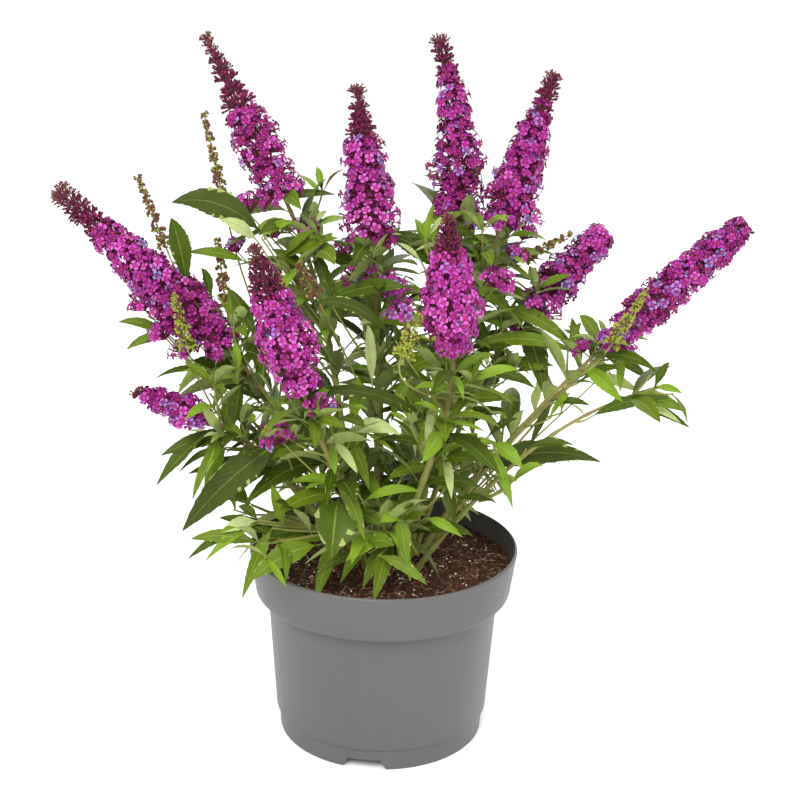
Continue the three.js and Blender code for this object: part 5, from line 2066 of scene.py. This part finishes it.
BUD_SPIKES = (
    ("left_tall", (-133, 42, 432), (-150, 46, 513), 11, "brown", 0.5),
    ("left_far", (-187, 62, 402), (-208, 66, 457), 12, "brown", 0.5),
    ("right_tall", (112, 52, 400), (148, 62, 418), 11, "brown", 0.5),
    ("left_far", (-157, -30, 341), (-165, -34, 381), 15, "green", 0.8),
    ("left_tall", (-132, 20, 362), (-138, 20, 416), 12, "brown", 0.5),
    ("front_mid", (12, -102, 359), (24, -108, 391), 19, "green", 1.1),
    ("right_far", (176, -32, 351), (200, -38, 397), 15, "green", 1.0),
    ("mid_left", (-58, -20, 384), (-70, -24, 408), 15, "brown", 0.5),
    ("rear_left", (-100, 155, 320), (-104, 180, 364), 12, "brown", 0.5),
    ("back_right", (60, 140, 400), (52, 160, 450), 12, "brown", 0.5),
)
SPIKE = {"whorl": 6.4, "grains": 17, "other": 0.22, "swing": 40, "shift": 0.7, "set_out": (0.3, 0.6),
         "spread": 0.45, "size": (0.85, 1.3), "knots": ((0, 1.0), (180, 1.0), (90, 0.6), (270, 0.6))}


print("clusters:", len(CLUSTERS), "- spikes:", len(BUD_SPIKES))


# %% Growing clusters and spikes
def grow_cluster(shoot, centre, wide, seed):
    """An umbel: flowers side by side on a dome, on a stalk from the shoot that forks under them."""
    chance = seeded(seed)
    centre = vec(centre)
    root = axil_below(shoot, centre, CLUSTER["slope"])
    rise = unit(unit(centre - root) + UP * CLUSTER["rise"])
    fork = centre - rise * wide * CLUSTER["fork"]
    stalk = Path(root, mix(root, fork, 0.6) - UP * 2, fork)
    add_stalk(stalk.stretch(0, 1, 8), np.linspace(0.9, 0.6, 9), 0.4)
    reach, cap, bud_size = wide * CLUSTER["reach"], CLUSTER["cap"], CLUSTER["bud_size"]
    grow_dome(fork, rise, reach, cap, round(wide * CLUSTER["flowers"]), CLUSTER["buds"], bud_size, 0,
              lambda: petal_look(0.3, CLUSTER["age"], 0.5, chance), chance)
    grow_dome(fork, rise, reach * CLUSTER["inner"], cap, round(wide * CLUSTER["inner_buds"]), 1,
              bud_size, 0, None, chance)


def grow_spike(shoot, base, tip, girth, look, slope, seed):
    """Uneven opposite knots of closed buds, close together on a thin stalk."""
    chance = seeded(seed)
    base, tip = vec(base), vec(tip)
    axis, length = unit(tip - base), np.linalg.norm(tip - base)
    root = axil_below(shoot, base, slope)
    stem = Path(root, base - axis * np.linalg.norm(base - root) * 0.5, base)
    add_stalk(stem.stretch(0, 1, 10), np.linspace(1.0, 0.75, 11), 0.35)
    add_stalk([base, tip], [0.75, 0.4], 0.35)
    share, turn = 0.0, chance() * 90
    while share < 1:
        reach = girth / 2 * max(0.3, 1 - share) ** 0.6
        for half, full in SPIKE["knots"]:
            out = ring_direction(axis, turn + half + SPIKE["swing"] * (chance() - 0.5))
            here = share * length + SPIKE["whorl"] * SPIKE["shift"] * (chance() - 0.5)
            knot = base + axis * here + out * reach * full * pick(SPIKE["set_out"], chance)
            add_stalk([base + axis * (here - 1.5), knot], [0.4, 0.3], 0.3)
            for k in range(round(SPIKE["grains"] * full * mix(1, 0.5, share))):
                way = unit(out + jitter(chance) * 2 + axis * 0.6)
                kind = look if chance() > SPIKE["other"] else ("green" if look == "brown" else "brown")
                spot = knot + way * reach * SPIKE["spread"] * chance() ** 0.5
                size = pick(SPIKE["size"], chance) * mix(1, 0.7, share)
                grains[kind].append((spot, way, 0, size, 0))
        turn += 90
        share += SPIKE["whorl"] * mix(1.1, 0.7, share) / length
    grains[look].append((tip - axis, axis, 0, 1.0, 0))


for number, row in enumerate(CLUSTERS):
    grow_cluster(*row, SEED * 4000 + number)
for number, row in enumerate(BUD_SPIKES):
    grow_spike(*row, SEED * 5000 + number)
print("flowers:", sum(map(len, flowers.values())), "- grains:", sum(map(len, grains.values())))

# %% Blossom pieces
PANICLE_NODES = [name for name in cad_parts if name.startswith("panicle_")]
for look, points in flowers.items():
    inner, outer = PETALS[look]
    looks = {"petal": inner, "edge": outer, "throat": THROAT, "eye": THROAT_SHADE, "tube": TUBE_SKIN, "calyx": CALYX}
    settle(stand(f"flowers_{look}", FLORETS, points, looks), "blossom", *PANICLE_NODES)
for look, points in buds.items():
    if points:
        looks = {"petal": BUD_SKINS[look], "calyx": CALYX}
        settle(stand(f"buds_{look}", BUDS, points, looks), "blossom")
for look, points in grains.items():
    looks = {"petal": BUD_SKINS[look], "calyx": BUD_SKINS["green"]}
    settle(stand(f"spike_buds_{look}", GRAINS, points, looks), "blossom")
settle(tubes("flower_stalks", stalks, 5, 0.0, BARK), "stem")
# One maroon covers the stalks inside the blossom and the thick core, which stands in for the shade deep in
# each panicle.
settle(tubes("panicle_stalks", cores, 4, 0.0, petal_finish("panicle_stalk", "7c2c4e")), "stem")
